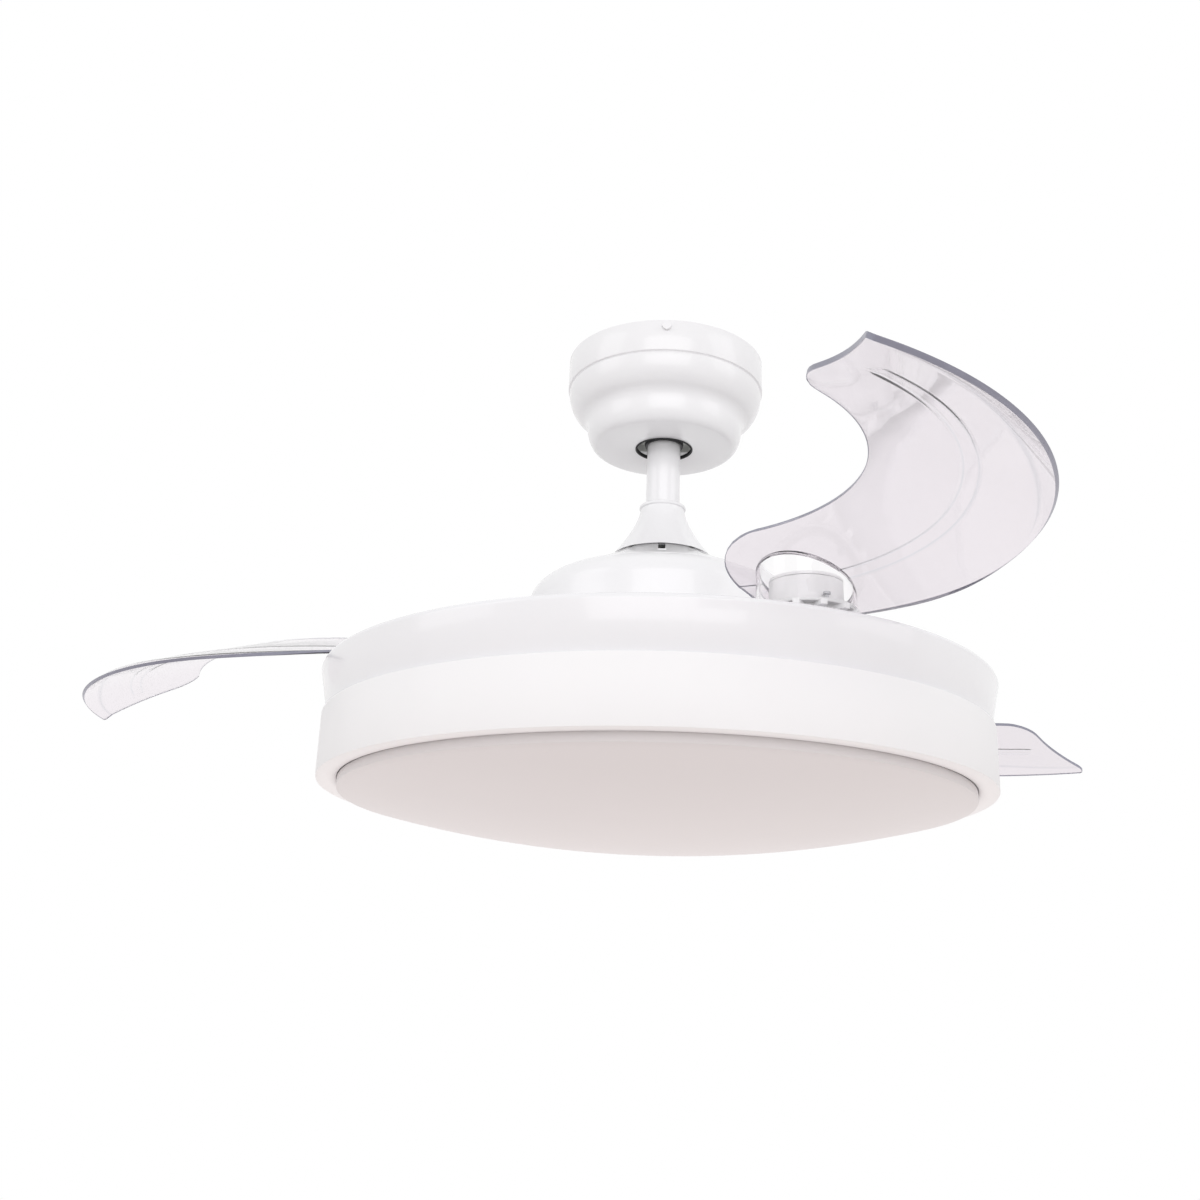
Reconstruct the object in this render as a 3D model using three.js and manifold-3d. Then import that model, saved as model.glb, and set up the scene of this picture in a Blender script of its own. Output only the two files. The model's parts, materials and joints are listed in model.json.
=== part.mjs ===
// Ceiling fan with three clear blades that fold flat over a round lamp drum.
// Millimetres, +Z up, origin in the ceiling plane on the fan's axis, front is -Y.
// The blades are shown swung out, as when the fan is running.

import * as THREE from 'three';
import { mergeVertices } from 'three/addons/utils/BufferGeometryUtils.js';
import Module from 'manifold-3d';

// ---------------------------------------------------------------- driving dimensions

const FIT_GAP = 0.3;                 // clearance between two pieces that touch
const RUN_GAP = 1.2;                 // clearance between a turning cover and a fixed one
const ROUND_STEPS = 40;              // facets round the drum
const MIDDLE_STEPS = 24;             // facets round the canopy, the motor and its cover
const BALL_STEPS = 20;               // facets round the ball, its seats and the downrod
const CUP_STEPS = 16;                // facets round a blade's cup and the hub in it
const SMALL_STEPS = 16;              // facets round the small pieces
const PIN_STEPS = 8;                 // facets round pins and bolts
const SCREW_STEPS = 6;               // facets round small screws

// canopy against the ceiling
const CANOPY_RADIUS = 80;
const CANOPY_HEIGHT = 75;
const CANOPY_WALL = 1.5;
const CANOPY_TOP_GAP = 0.5;          // below the ceiling plane
const CANOPY_BAND_HEIGHT = 26;       // plain band above the groove
const CANOPY_GROOVE = 1.6;           // depth and height of the groove
const CANOPY_CREASE_RADIUS = 62;     // between the two bulges
const CANOPY_CREASE_DEPTH = 51;
const CANOPY_BULGE_STEP = 1;         // each bulge starts this far in or out
const CANOPY_FLOOR_RADIUS = 54;      // where the flat bottom starts
const CANOPY_LOWER_BULGE_HEIGHT = 17;
const CANOPY_HOLE_RADIUS = 22;
const CANOPY_SCREW_ANGLES = [30, 150, 270];
const CANOPY_SCREW_DROP = 6;         // screw centre below the ceiling
const CANOPY_SCREW_RADIUS = 2;
const CANOPY_SCREW_HEAD_RADIUS = 3.6;
const CANOPY_SCREW_HEAD_HEIGHT = 2;
const CANOPY_SCREW_REACH = 8;        // shank inside the canopy

// ceiling bracket
const BRACKET_PLATE_RADIUS = 50;
const BRACKET_THICKNESS = 2.5;
const BRACKET_EAR_WIDTH = 16;
const BRACKET_EAR_HEIGHT = 12;
const BRACKET_EAR_GAP = 1.4;         // to the canopy's wall
const BRACKET_LEG_WIDTH = 30;
const BRACKET_LEG_GAP = 3;           // from a leg to what lies between the legs
const BRACKET_FLOOR_DEPTH = 56;      // front to back, round the ball's seat
const WIRE_HOLE_RADIUS = 12;
const WIRE_HOLE_OFFSET = 30;
const CEILING_SLOT_OFFSET = 41;
const CEILING_SLOT_WIDTH = 6;
const CEILING_SLOT_LENGTH = 14;

// remote control receiver
const RECEIVER_LENGTH = 62;
const RECEIVER_WIDTH = 34;
const RECEIVER_HEIGHT = 15;

// hanger ball
const BALL_DROP = 48;                // ball centre below the ceiling
const BALL_RADIUS = 22;
const BALL_HALF_HEIGHT = 15;
const LINER_GAP = 0.45;              // running gap on each side of the liner
const LINER_THICKNESS = 2.2;
const SEAT_THICKNESS = 2.5;
const SEAT_TOP_ANGLE = 4;            // degrees below the ball's equator
const SEAT_BOTTOM_ANGLE = 37;
const LINER_BOTTOM_ANGLE = 39;
const SEAT_HOLE_MARGIN = 2;          // the bracket's floor stays this far outside the seat

// downrod and coupling
const ROD_RADIUS = 13.5;
const ROD_WALL = 2;
const ROD_LENGTH = 135;
const ROD_ABOVE_BALL = 3;
const CROSS_PIN_RADIUS = 3;
const COLLAR_WALL = 4.7;
const COLLAR_HEIGHT = 26;            // round the rod
const COLLAR_WEB = 6;                // bottom of the collar, on the motor's shaft
const COLLAR_WEB_GAP = 1;            // from the rod's end to the web
const CLEVIS_RISE = 15;              // above the rod's end
const CLEVIS_HEAD_HEIGHT = 2.5;
const CLEVIS_HEAD_RADIUS = 4.8;
const CLEVIS_TAIL = 5.5;             // pin outside the collar, on the clip's side
const CLIP_WIRE_RADIUS = 0.8;
const CLIP_HOLE_RADIUS = 1.2;
const CLIP_OFFSET = 3;               // clip outside the collar
const SET_SCREW_RISE = 7;            // above the rod's end
const SET_SCREW_RADIUS = 2.5;
const SET_SCREW_HEAD_RADIUS = 4.2;
const SET_SCREW_HEAD_HEIGHT = 3.5;

// coupling cover
const COVER_HEIGHT = 44;
const COVER_BELOW_ROD = 3;
const COVER_TOP_RADIUS = 17.6;
const COVER_LIP = 1;
const COVER_LIP_HEIGHT = 3;
const COVER_BOTTOM_RADIUS = 40;
const COVER_FLARE = 1.2;             // 1 is a straight cone, more is a trumpet
const COVER_WALL = 1.5;
const COVER_BORE_GAP = 0.6;

// motor
const MOTOR_DROP = 42.5;             // from the motor cover's top to the motor
const MOTOR_RADIUS = 94;
const MOTOR_WALL = 3;
const MOTOR_HEIGHT = 60;
const MOTOR_HOLE_GAP = 1.5;          // the shell turns round the shaft
const SHAFT_RADIUS = 8.5;
const SHAFT_BORE = 5.5;
const SHAFT_BELOW_NUT = 3;
const SHAFT_NUT_HEIGHT = 7;
const SHAFT_NUT_RADIUS = 15.5;
const BEARING_RADIUS = 15;
const BEARING_HEIGHT = 8;
const BEARING_SEAT_WALL = 4;
const BEARING_SEAT_EXTRA = 1;        // the seat is this much longer than the bearing
const STATOR_HEIGHT = 22;
const STATOR_AIR_GAP = 1;            // to the magnets
const STATOR_TEETH = 12;
const STATOR_SLOT_RADIUS = 40;
const STATOR_SLOT_WIDTH = 12;
const MAGNET_THICKNESS = 3.2;
const MAGNET_HEIGHT = 40;
const WINDING_HEIGHT = 8;
const WINDING_OUTER_STEP = 5;        // winding inside the stator's edge
const WINDING_INNER_STEP = 2;
const WINDING_BAR_STEP = 4;          // the bars in the slots stay this far inside the rings

// motor cover
const DOME_HOLE_RADIUS = 21;
const DOME_FLAT_STEP = 4;            // the slope starts this far under the coupling cover
const DOME_SHOULDER_DROP = 24;       // end of the straight slope
const DOME_CLEARANCE = 7.4;          // round the motor
const DOME_ROUND_REACH = 25;
const DOME_ROUND_DROP = 22;
const DOME_WALL = 1.6;
const DOME_FLANGE_WIDTH = 10;
const DOME_FLANGE_THICKNESS = 1.8;
const DOME_SLOT_COUNT = 8;
const DOME_SLOT_WIDTH = 5.5;
const DOME_SLOT_LENGTH = 19;
const DOME_SCREW_COUNT = 3;
const DOME_SCREW_ANGLE = 30;
const DOME_SCREW_RADIUS = 1.5;
const DOME_SCREW_HEAD_RADIUS = 3;
const DOME_SCREW_HEAD_HEIGHT = 2;

// blade carrier and its gears
const BLADE_COUNT = 3;
const CARRIER_MARGIN = 23.5;         // outside the pivots
const CARRIER_THICKNESS = 3;
const CARRIER_HOLE_RADIUS = 30;
const CARRIER_RUN_GAP = 4;           // above the drum's top
const GEAR_MODULE = 5;
const RING_TEETH = 69;
const PINION_TEETH = 12;
const SPARE_TEETH = 2;               // on the ring, past each end of its travel
const GEAR_THICKNESS = 2.7;
const TOOTH_ABOVE = 0.8;             // of a module, outside the pitch circle
const TOOTH_BELOW = 1.1;             // of a module, inside the pitch circle
const TOOTH_TIP_SHARE = 0.12;        // half a tooth's tip, as a share of the pitch
const TOOTH_ROOT_SHARE = 0.31;
const RING_GEAR_WIDTH = 13;          // below the teeth
const GUIDE_RIM_HEIGHT = 5.5;
const GUIDE_RIM_WALL = 2.5;
const GUIDE_GAP = 1;                 // lets the toothed ring turn on the rim
const PIVOT_ANGLE = -62.3;           // first pivot, degrees from +X
const FOLD_ANGLE = 111;              // swing from folded to open, degrees

// pivots
const PIVOT_BOLT_RADIUS = 4;
const PIVOT_HEAD_RADIUS = 7.5;
const PIVOT_HEAD_HEIGHT = 4;
const HUB_FLANGE_RADIUS = 31.5;
const HUB_FLANGE_THICKNESS = 2.3;
const HUB_DRUM_RADIUS = 24;
const HUB_DRUM_WALL = 3;
const HUB_DRUM_HEIGHT = 17;
const HUB_SLEEVE_RADIUS = 7;
const HUB_SLEEVE_HEIGHT = 8;
const CAP_THICKNESS = 2;
const SPRING_INNER_RADIUS = 9.5;
const SPRING_OUTER_RADIUS = 15;
const SPRING_HEIGHT = 9;

// blades, described folded: an arc round the fan's axis
const BLADE_OUTSIDE_PIVOT = 40.5;    // from the pivot circle out to the blade's edge
const BLADE_INSIDE_PIVOT = 52.5;
const BLADE_THICKNESS = 3;
const BLADE_INNER_HEIGHT = 44;       // inner edge's underside above the carrier's top, at the root
const BLADE_INNER_SINK = 7.5;        // the inner edge comes down this far to the tip
const BLADE_OUTER_HEIGHT = 3.1;      // outer edge's underside above the carrier's top
const BLADE_ROOT_RISE = 8;           // the outer edge is this much higher at the root
const BLADE_ROOT_SHARE = 0.25;       // of the blade's length, over which that rise ends
const BLADE_LIP_WIDTH = 15;          // outer edge bent down
const BLADE_LIP_DROP = 5;
const BLADE_LIP_CURVE = 1.6;         // 1 is a straight bend, more starts softer
const TIP_OUTER_ANGLE = -172.2;
const TIP_INNER_ANGLE = -161;
const TIP_OUTER_ROUND = 5;
const TIP_INNER_ROUND = 16;
const TIP_HOLLOW = 3;                // inward bow of the tip's edge
const BLADE_STEPS = 12;              // along the blade
const BLADE_COLUMNS = [0, 0.03, 0.28, 0.55, 0.8, 0.9, 0.96, 1];
const CUP_RADIUS = 32.5;
const CUP_WALL = 2.3;
const CUP_FLOOR = 2.5;
const BLADE_SCREW_ANGLES = [0, 180];
const BLADE_SCREW_RADIUS = 1.5;
const BLADE_SCREW_HEAD_RADIUS = 2.5;
const BLADE_SCREW_HEAD_HEIGHT = 1.5;

// lamp drum
const DRUM_MARGIN = 10;              // outside the folded blades
const TIER_HEIGHT = 35.4;
const TIER_SLANT = 6.5;              // top edge outside the bottom edge
const TIER_EDGE_ROUND = 4;
const TIER_WALL = 2.5;
const TIER_FLANGE = 8;
const RING_STEP = 3;                 // lower ring inside the upper tier's edge
const RING_HEIGHT = 45.3;
const RING_WALL = 3;
const RING_LIP = 15;
const RING_TOP_FLANGE = 12;
const TRAY_THICKNESS = 1.5;
const TRAY_HOLE_RADIUS = 17;
const LED_BOARD_OUTER = 200;
const LED_BOARD_INNER = 92;
const LED_BOARD_THICKNESS = 1.6;
const DRIVER_LENGTH = 110;
const DRIVER_WIDTH = 56;
const DRIVER_HEIGHT = 26;

// diffuser
const DIFFUSER_GAP = 1;              // to the ring's lip
const DIFFUSER_SIDE = 6;             // straight side below the ring
const DIFFUSER_BULGE = 30;
const DIFFUSER_WALL = 2.5;
const DIFFUSER_NECK = 12.5;
const DIFFUSER_STEP = 3.5;           // the neck is this much smaller
const DIFFUSER_STEP_RISE = 1;        // the step lies this far above the ring's bottom
const TAB_COUNT = 3;
const TAB_WIDTH_ANGLE = 8;
const TAB_THICKNESS = 2;
const TAB_ANGLE = 90;                // first tab, degrees from +X
const LEDGE_WIDTH_ANGLE = 12;
const LEDGE_THICKNESS = 2;

// ---------------------------------------------------------------- worked-out places

const DEGREE = Math.PI / 180;
const BITE = 1;                      // how far pieces that are joined or cut reach into each other

const BALL_Z = -BALL_DROP;
const SEAT_INNER = BALL_RADIUS + 2 * LINER_GAP + LINER_THICKNESS;
const SEAT_OUTER = SEAT_INNER + SEAT_THICKNESS;
const SEAT_BOTTOM_Z = BALL_Z - SEAT_OUTER * Math.sin(SEAT_BOTTOM_ANGLE * DEGREE);
const BRACKET_LEG_OFFSET = Math.max(RECEIVER_LENGTH / 2, SEAT_OUTER) + BRACKET_LEG_GAP;
const BRACKET_EAR_RADIUS = CANOPY_RADIUS - CANOPY_WALL - BRACKET_EAR_GAP;

const ROD_TOP_Z = BALL_Z + BALL_HALF_HEIGHT + ROD_ABOVE_BALL;
const ROD_BOTTOM_Z = ROD_TOP_Z - ROD_LENGTH;
const ROD_BORE = ROD_RADIUS + FIT_GAP;
const CLEVIS_Z = ROD_BOTTOM_Z + CLEVIS_RISE;
const SET_SCREW_Z = ROD_BOTTOM_Z + SET_SCREW_RISE;
const CROSS_HOLE = CROSS_PIN_RADIUS + FIT_GAP;
const COLLAR_RADIUS = ROD_BORE + COLLAR_WALL;
const WEB_TOP_Z = ROD_BOTTOM_Z - COLLAR_WEB_GAP;
const COVER_BOTTOM_Z = ROD_BOTTOM_Z - COVER_BELOW_ROD;
const COVER_TOP_Z = COVER_BOTTOM_Z + COVER_HEIGHT;
const CLIP_X = COLLAR_RADIUS + CLIP_OFFSET;

const DOME_TOP_Z = COVER_BOTTOM_Z - RUN_GAP;
const DOME_RADIUS = MOTOR_RADIUS + DOME_CLEARANCE + DOME_WALL;
const DOME_FLANGE_RADIUS = DOME_RADIUS + DOME_FLANGE_WIDTH;
const DOME_SCREW_RING = DOME_RADIUS + DOME_FLANGE_WIDTH / 2;
const MOTOR_TOP_Z = DOME_TOP_Z - MOTOR_DROP;
const MOTOR_BOTTOM_Z = MOTOR_TOP_Z - MOTOR_HEIGHT;
const MOTOR_MIDDLE_Z = (MOTOR_TOP_Z + MOTOR_BOTTOM_Z) / 2;
const MAGNET_RADIUS = MOTOR_RADIUS - MOTOR_WALL - FIT_GAP;
const STATOR_RADIUS = MAGNET_RADIUS - MAGNET_THICKNESS - STATOR_AIR_GAP;

const CARRIER_TOP_Z = MOTOR_BOTTOM_Z - FIT_GAP;
const CARRIER_BOTTOM_Z = CARRIER_TOP_Z - CARRIER_THICKNESS;
const FLANGE_BOTTOM_Z = CARRIER_TOP_Z + FIT_GAP;
const FLANGE_TOP_Z = FLANGE_BOTTOM_Z + DOME_FLANGE_THICKNESS;
const PIVOT_RADIUS = (GEAR_MODULE * (RING_TEETH + PINION_TEETH)) / 2;
const RING_GEAR_BORE = (GEAR_MODULE * RING_TEETH) / 2 - TOOTH_BELOW * GEAR_MODULE - RING_GEAR_WIDTH;
const GEAR_BOTTOM_Z = CARRIER_TOP_Z + FIT_GAP;
const GEAR_TOP_Z = GEAR_BOTTOM_Z + GEAR_THICKNESS;

const HUB_BOTTOM_Z = GEAR_TOP_Z + FIT_GAP;
const HUB_FLANGE_TOP_Z = HUB_BOTTOM_Z + HUB_FLANGE_THICKNESS;
const HUB_TOP_Z = HUB_FLANGE_TOP_Z + HUB_DRUM_HEIGHT;
const SLEEVE_TOP_Z = HUB_FLANGE_TOP_Z + HUB_SLEEVE_HEIGHT;
const SLEEVE_BORE = PIVOT_BOLT_RADIUS + 2 * FIT_GAP;
const CUP_BOTTOM_Z = HUB_FLANGE_TOP_Z + FIT_GAP;
const CUP_FLOOR_TOP_Z = CUP_BOTTOM_Z + CUP_FLOOR;
const CUP_BORE = CUP_RADIUS - CUP_WALL;
const CUP_FLOOR_HOLE = HUB_DRUM_RADIUS + FIT_GAP;
const BLADE_SCREW_RING = (CUP_FLOOR_HOLE + CUP_BORE) / 2;

const BLADE_OUTER_RADIUS = PIVOT_RADIUS + BLADE_OUTSIDE_PIVOT;
const BLADE_INNER_RADIUS = PIVOT_RADIUS - BLADE_INSIDE_PIVOT;
const BLADE_WIDTH = BLADE_OUTER_RADIUS - BLADE_INNER_RADIUS;
const BLADE_TOP_Z = CARRIER_TOP_Z + BLADE_INNER_HEIGHT + BLADE_THICKNESS;

const DRUM_TOP_Z = CARRIER_BOTTOM_Z - CARRIER_RUN_GAP;
const TIER_TOP_RADIUS = BLADE_OUTER_RADIUS + DRUM_MARGIN;
const TIER_BOTTOM_RADIUS = TIER_TOP_RADIUS - TIER_SLANT;
const TIER_BOTTOM_Z = DRUM_TOP_Z - TIER_HEIGHT;
const RING_RADIUS = TIER_TOP_RADIUS - RING_STEP;
const RING_TOP_Z = TIER_BOTTOM_Z - FIT_GAP;
const RING_BOTTOM_Z = RING_TOP_Z - RING_HEIGHT;
const SHAFT_HOLE = SHAFT_RADIUS + FIT_GAP;
const SHAFT_TOP_Z = WEB_TOP_Z - FIT_GAP;
const NUT_TOP_Z = DRUM_TOP_Z - TIER_WALL - FIT_GAP;
const SHAFT_BOTTOM_Z = NUT_TOP_Z - SHAFT_NUT_HEIGHT - SHAFT_BELOW_NUT;
const TRAY_TOP_Z = RING_TOP_Z - RING_WALL - FIT_GAP;
const TRAY_BOTTOM_Z = TRAY_TOP_Z - TRAY_THICKNESS;
const DIFFUSER_RADIUS = RING_RADIUS - RING_LIP - DIFFUSER_GAP;
const NECK_RADIUS = DIFFUSER_RADIUS - DIFFUSER_STEP;
const NECK_TOP_Z = RING_BOTTOM_Z + DIFFUSER_NECK;
const TAB_BOTTOM_Z = NECK_TOP_Z - TAB_THICKNESS;

// ---------------------------------------------------------------- finishes

const coat = (color, roughness) => new THREE.MeshStandardMaterial({ color, roughness, metalness: 0 });
const metal = (color, roughness) => new THREE.MeshStandardMaterial({ color, roughness, metalness: 1 });
const WHITE_PAINT = coat(0xf6f4f7, 0.25);
const WHITE_MATT = coat(0xf5f3f5, 0.6);
const WHITE_PLASTIC = coat(0xf1f0f0, 0.4);
const OPAL = coat(0xd8cfcf, 0.5);
const BLACK_RUBBER = coat(0x18181a, 0.8);
const BLACK_PLASTIC = coat(0x202022, 0.5);
const WHITE_BOARD = coat(0xdfe5e0, 0.5);
const STEEL = metal(0xb9bcc0, 0.35);
const ZINC = metal(0xc4c6c4, 0.45);
const LAMINATION = metal(0x77797c, 0.5);
const COPPER = metal(0xb5683a, 0.4);
const MAGNET = metal(0x4c4d50, 0.5);
const CLEAR = coat(0xe8e3e6, 0.05);
CLEAR.transparent = true;
CLEAR.opacity = 0.35;

// ---------------------------------------------------------------- solids

const wasm = await Module();
wasm.setup();

/** One indexed geometry with shared corners and no collapsed triangles. */
function tidy(geometry) {
  const bare = geometry.clone();
  bare.deleteAttribute('normal');
  bare.deleteAttribute('uv');
  const merged = mergeVertices(bare, 1e-4);
  const from = merged.index.array;
  const kept = [];
  for (let i = 0; i < from.length; i += 3) {
    const [a, b, c] = [from[i], from[i + 1], from[i + 2]];
    if (a !== b && b !== c && c !== a) kept.push(a, b, c);
  }
  merged.setIndex(kept);
  return merged;
}

function toSolid(geometry) {
  const merged = tidy(geometry);
  return new wasm.Manifold(new wasm.Mesh({
    numProp: 3,
    vertProperties: Float32Array.from(merged.attributes.position.array),
    triVerts: Uint32Array.from(merged.index.array),
  }));
}

function toGeometry(solid) {
  const mesh = solid.getMesh();
  const geometry = new THREE.BufferGeometry();
  geometry.setAttribute('position', new THREE.BufferAttribute(mesh.vertProperties, 3));
  geometry.setIndex(new THREE.BufferAttribute(mesh.triVerts, 1));
  return geometry;
}

function join(...pieces) {
  return toGeometry(pieces.map(toSolid).reduce((all, next) => all.add(next)));
}

function cut(body, ...tools) {
  return toGeometry(tools.map(toSolid).reduce((all, next) => all.subtract(next), toSolid(body)));
}

function overlap(a, b) {
  return toGeometry(toSolid(a).intersect(toSolid(b)));
}

/** A turned piece round Z. The [radius, z] outline closes on itself or ends on the axis. */
function turned(outline, steps = SMALL_STEPS) {
  let area = 0;
  outline.forEach(([r, z], i) => {
    const [nextR, nextZ] = outline[(i + 1) % outline.length];
    area += r * nextZ - nextR * z;
  });
  const ordered = area > 0 ? outline : [...outline].reverse();
  const closed = [...ordered, ordered[0]];
  const points = closed.map(([r, z]) => new THREE.Vector2(r, z));
  return tidy(new THREE.LatheGeometry(points, steps).rotateX(Math.PI / 2));
}

/** A plain ring or, with no inner radius, a disc. */
function ring(outer, inner, bottom, top, steps = SMALL_STEPS) {
  return turned([[inner, bottom], [outer, bottom], [outer, top], [inner, top]], steps);
}

function box(x, y, z, sizeX, sizeY, sizeZ) {
  return new THREE.BoxGeometry(sizeX, sizeY, sizeZ).translate(x, y, z);
}

/** A straight pin between two points. */
function pin(from, to, radius, steps = PIN_STEPS) {
  const start = new THREE.Vector3(...from);
  const way = new THREE.Vector3(...to).sub(start);
  const up = new THREE.Vector3(0, 1, 0);
  const turn = new THREE.Quaternion().setFromUnitVectors(up, way.clone().normalize());
  return new THREE.CylinderGeometry(radius, radius, way.length(), steps)
    .applyQuaternion(turn)
    .translate(start.x + way.x / 2, start.y + way.y / 2, start.z + way.z / 2);
}

/** An upright pin at a place, between two heights. */
function post([x, y], bottom, top, radius, steps = PIN_STEPS) {
  return pin([x, y, bottom], [x, y, top], radius, steps);
}

/** Points on a quarter of an ellipse, from its side to its bottom. */
function quarter(centreR, centreZ, radiusR, radiusZ, steps) {
  return Array.from({ length: steps + 1 }, (_, i) => {
    const angle = (i / steps) * (Math.PI / 2);
    return [centreR + radiusR * Math.cos(angle), centreZ - radiusZ * Math.sin(angle)];
  });
}

/** Points on an arc round [0, centreZ] between two angles below the equator. */
function arcBelow(centreZ, radius, fromAngle, toAngle, steps) {
  return Array.from({ length: steps + 1 }, (_, i) => {
    const angle = (fromAngle + ((toAngle - fromAngle) * i) / steps) * DEGREE;
    return [radius * Math.cos(angle), centreZ - radius * Math.sin(angle)];
  });
}

/** A flat plate of any outline, between two heights. */
function plate(corners, bottom, top) {
  const shape = new THREE.Shape(corners.map(([x, y]) => new THREE.Vector2(x, y)));
  const options = { depth: top - bottom, bevelEnabled: false };
  return new THREE.ExtrudeGeometry(shape, options).translate(0, 0, bottom);
}

function polar(radius, angle) {
  return [radius * Math.cos(angle * DEGREE), radius * Math.sin(angle * DEGREE)];
}

/** Evenly spaced angles round the axis, in degrees. */
function around(count, first = 0) {
  return Array.from({ length: count }, (_, i) => first + (i * 360) / count);
}

/** A sector of a flat ring, centred on an angle. */
function sector(outer, inner, centreAngle, widthAngle, bottom, top) {
  const steps = 3;
  const angles = Array.from({ length: steps + 1 }, (_, i) => centreAngle + widthAngle * (i / steps - 0.5));
  const outside = angles.map((angle) => polar(outer, angle));
  const inside = angles.reverse().map((angle) => polar(inner, angle));
  return plate([...outside, ...inside], bottom, top);
}

/** A gear's outline. The first tooth points along an angle; only the teeth that are wanted are cut. */
function gearOutline(teeth, firstToothAngle, isWanted = () => true) {
  const pitchRadius = (GEAR_MODULE * teeth) / 2;
  const tip = pitchRadius + TOOTH_ABOVE * GEAR_MODULE;
  const root = pitchRadius - TOOTH_BELOW * GEAR_MODULE;
  const toothSides = [
    [root, -TOOTH_ROOT_SHARE], [tip, -TOOTH_TIP_SHARE], [tip, TOOTH_TIP_SHARE], [root, TOOTH_ROOT_SHARE],
  ];
  return Array.from({ length: teeth }, (_, i) => {
    const sides = isWanted(i) ? toothSides : [[root, 0]];
    return sides.map(([radius, share]) => polar(radius, firstToothAngle + ((i + share) * 360) / teeth));
  }).flat();
}

// ---------------------------------------------------------------- ceiling pieces

/** The canopy's side from its top to its flat bottom, moved in by a wall. */
function canopyLine(inset, steps) {
  const bandRadius = CANOPY_RADIUS - inset;
  const bulgeTop = -CANOPY_BAND_HEIGHT - CANOPY_GROOVE;
  const bulge = quarter(
    CANOPY_CREASE_RADIUS,
    bulgeTop,
    CANOPY_RADIUS - CANOPY_BULGE_STEP - CANOPY_CREASE_RADIUS - inset,
    CANOPY_CREASE_DEPTH + bulgeTop - inset,
    steps,
  );
  const lower = quarter(
    CANOPY_FLOOR_RADIUS,
    CANOPY_LOWER_BULGE_HEIGHT - CANOPY_HEIGHT,
    CANOPY_CREASE_RADIUS + CANOPY_BULGE_STEP - CANOPY_FLOOR_RADIUS - inset,
    CANOPY_LOWER_BULGE_HEIGHT - inset,
    steps - 1,
  );
  return [[bandRadius, -CANOPY_TOP_GAP], [bandRadius, -CANOPY_BAND_HEIGHT], ...bulge, ...lower];
}

/** A straight pin or hole across the canopy's wall, between two radii. */
function canopyPin(angle, fromRadius, toRadius, radius, steps = SCREW_STEPS) {
  const at = (reach) => [...polar(reach, angle), -CANOPY_SCREW_DROP];
  return pin(at(fromRadius), at(toRadius), radius, steps);
}

function canopyScrewHoles() {
  const hole = CANOPY_SCREW_RADIUS + FIT_GAP;
  const inside = BRACKET_EAR_RADIUS - BRACKET_THICKNESS - BITE;
  return CANOPY_SCREW_ANGLES.map((angle) => canopyPin(angle, inside, CANOPY_RADIUS + BITE, hole));
}

function canopy() {
  const outside = canopyLine(0, 4);
  const groove = [CANOPY_RADIUS - CANOPY_GROOVE, -CANOPY_BAND_HEIGHT - CANOPY_GROOVE / 2];
  outside.splice(2, 0, groove);
  const inside = canopyLine(CANOPY_WALL, 3).reverse();
  const hole = [
    [CANOPY_HOLE_RADIUS, -CANOPY_HEIGHT],
    [CANOPY_HOLE_RADIUS, -CANOPY_HEIGHT + CANOPY_WALL],
  ];
  return cut(turned([...outside, ...hole, ...inside], MIDDLE_STEPS), ...canopyScrewHoles());
}

function canopyScrew(angle) {
  const seat = CANOPY_RADIUS + FIT_GAP;
  const tip = CANOPY_RADIUS - CANOPY_SCREW_REACH;
  const shank = canopyPin(angle, tip, seat + BITE, CANOPY_SCREW_RADIUS);
  const head = canopyPin(angle, seat, seat + CANOPY_SCREW_HEAD_HEIGHT, CANOPY_SCREW_HEAD_RADIUS, PIN_STEPS);
  return join(shank, head);
}

function bracketEar(angle) {
  const t = BRACKET_THICKNESS;
  const arm = box(BRACKET_EAR_RADIUS / 2, 0, -t / 2, BRACKET_EAR_RADIUS, BRACKET_EAR_WIDTH, t);
  const ear = box(
    BRACKET_EAR_RADIUS - t / 2, 0, -BRACKET_EAR_HEIGHT / 2, t, BRACKET_EAR_WIDTH, BRACKET_EAR_HEIGHT,
  );
  return [arm, ear].map((piece) => piece.rotateZ(angle * DEGREE));
}

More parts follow.
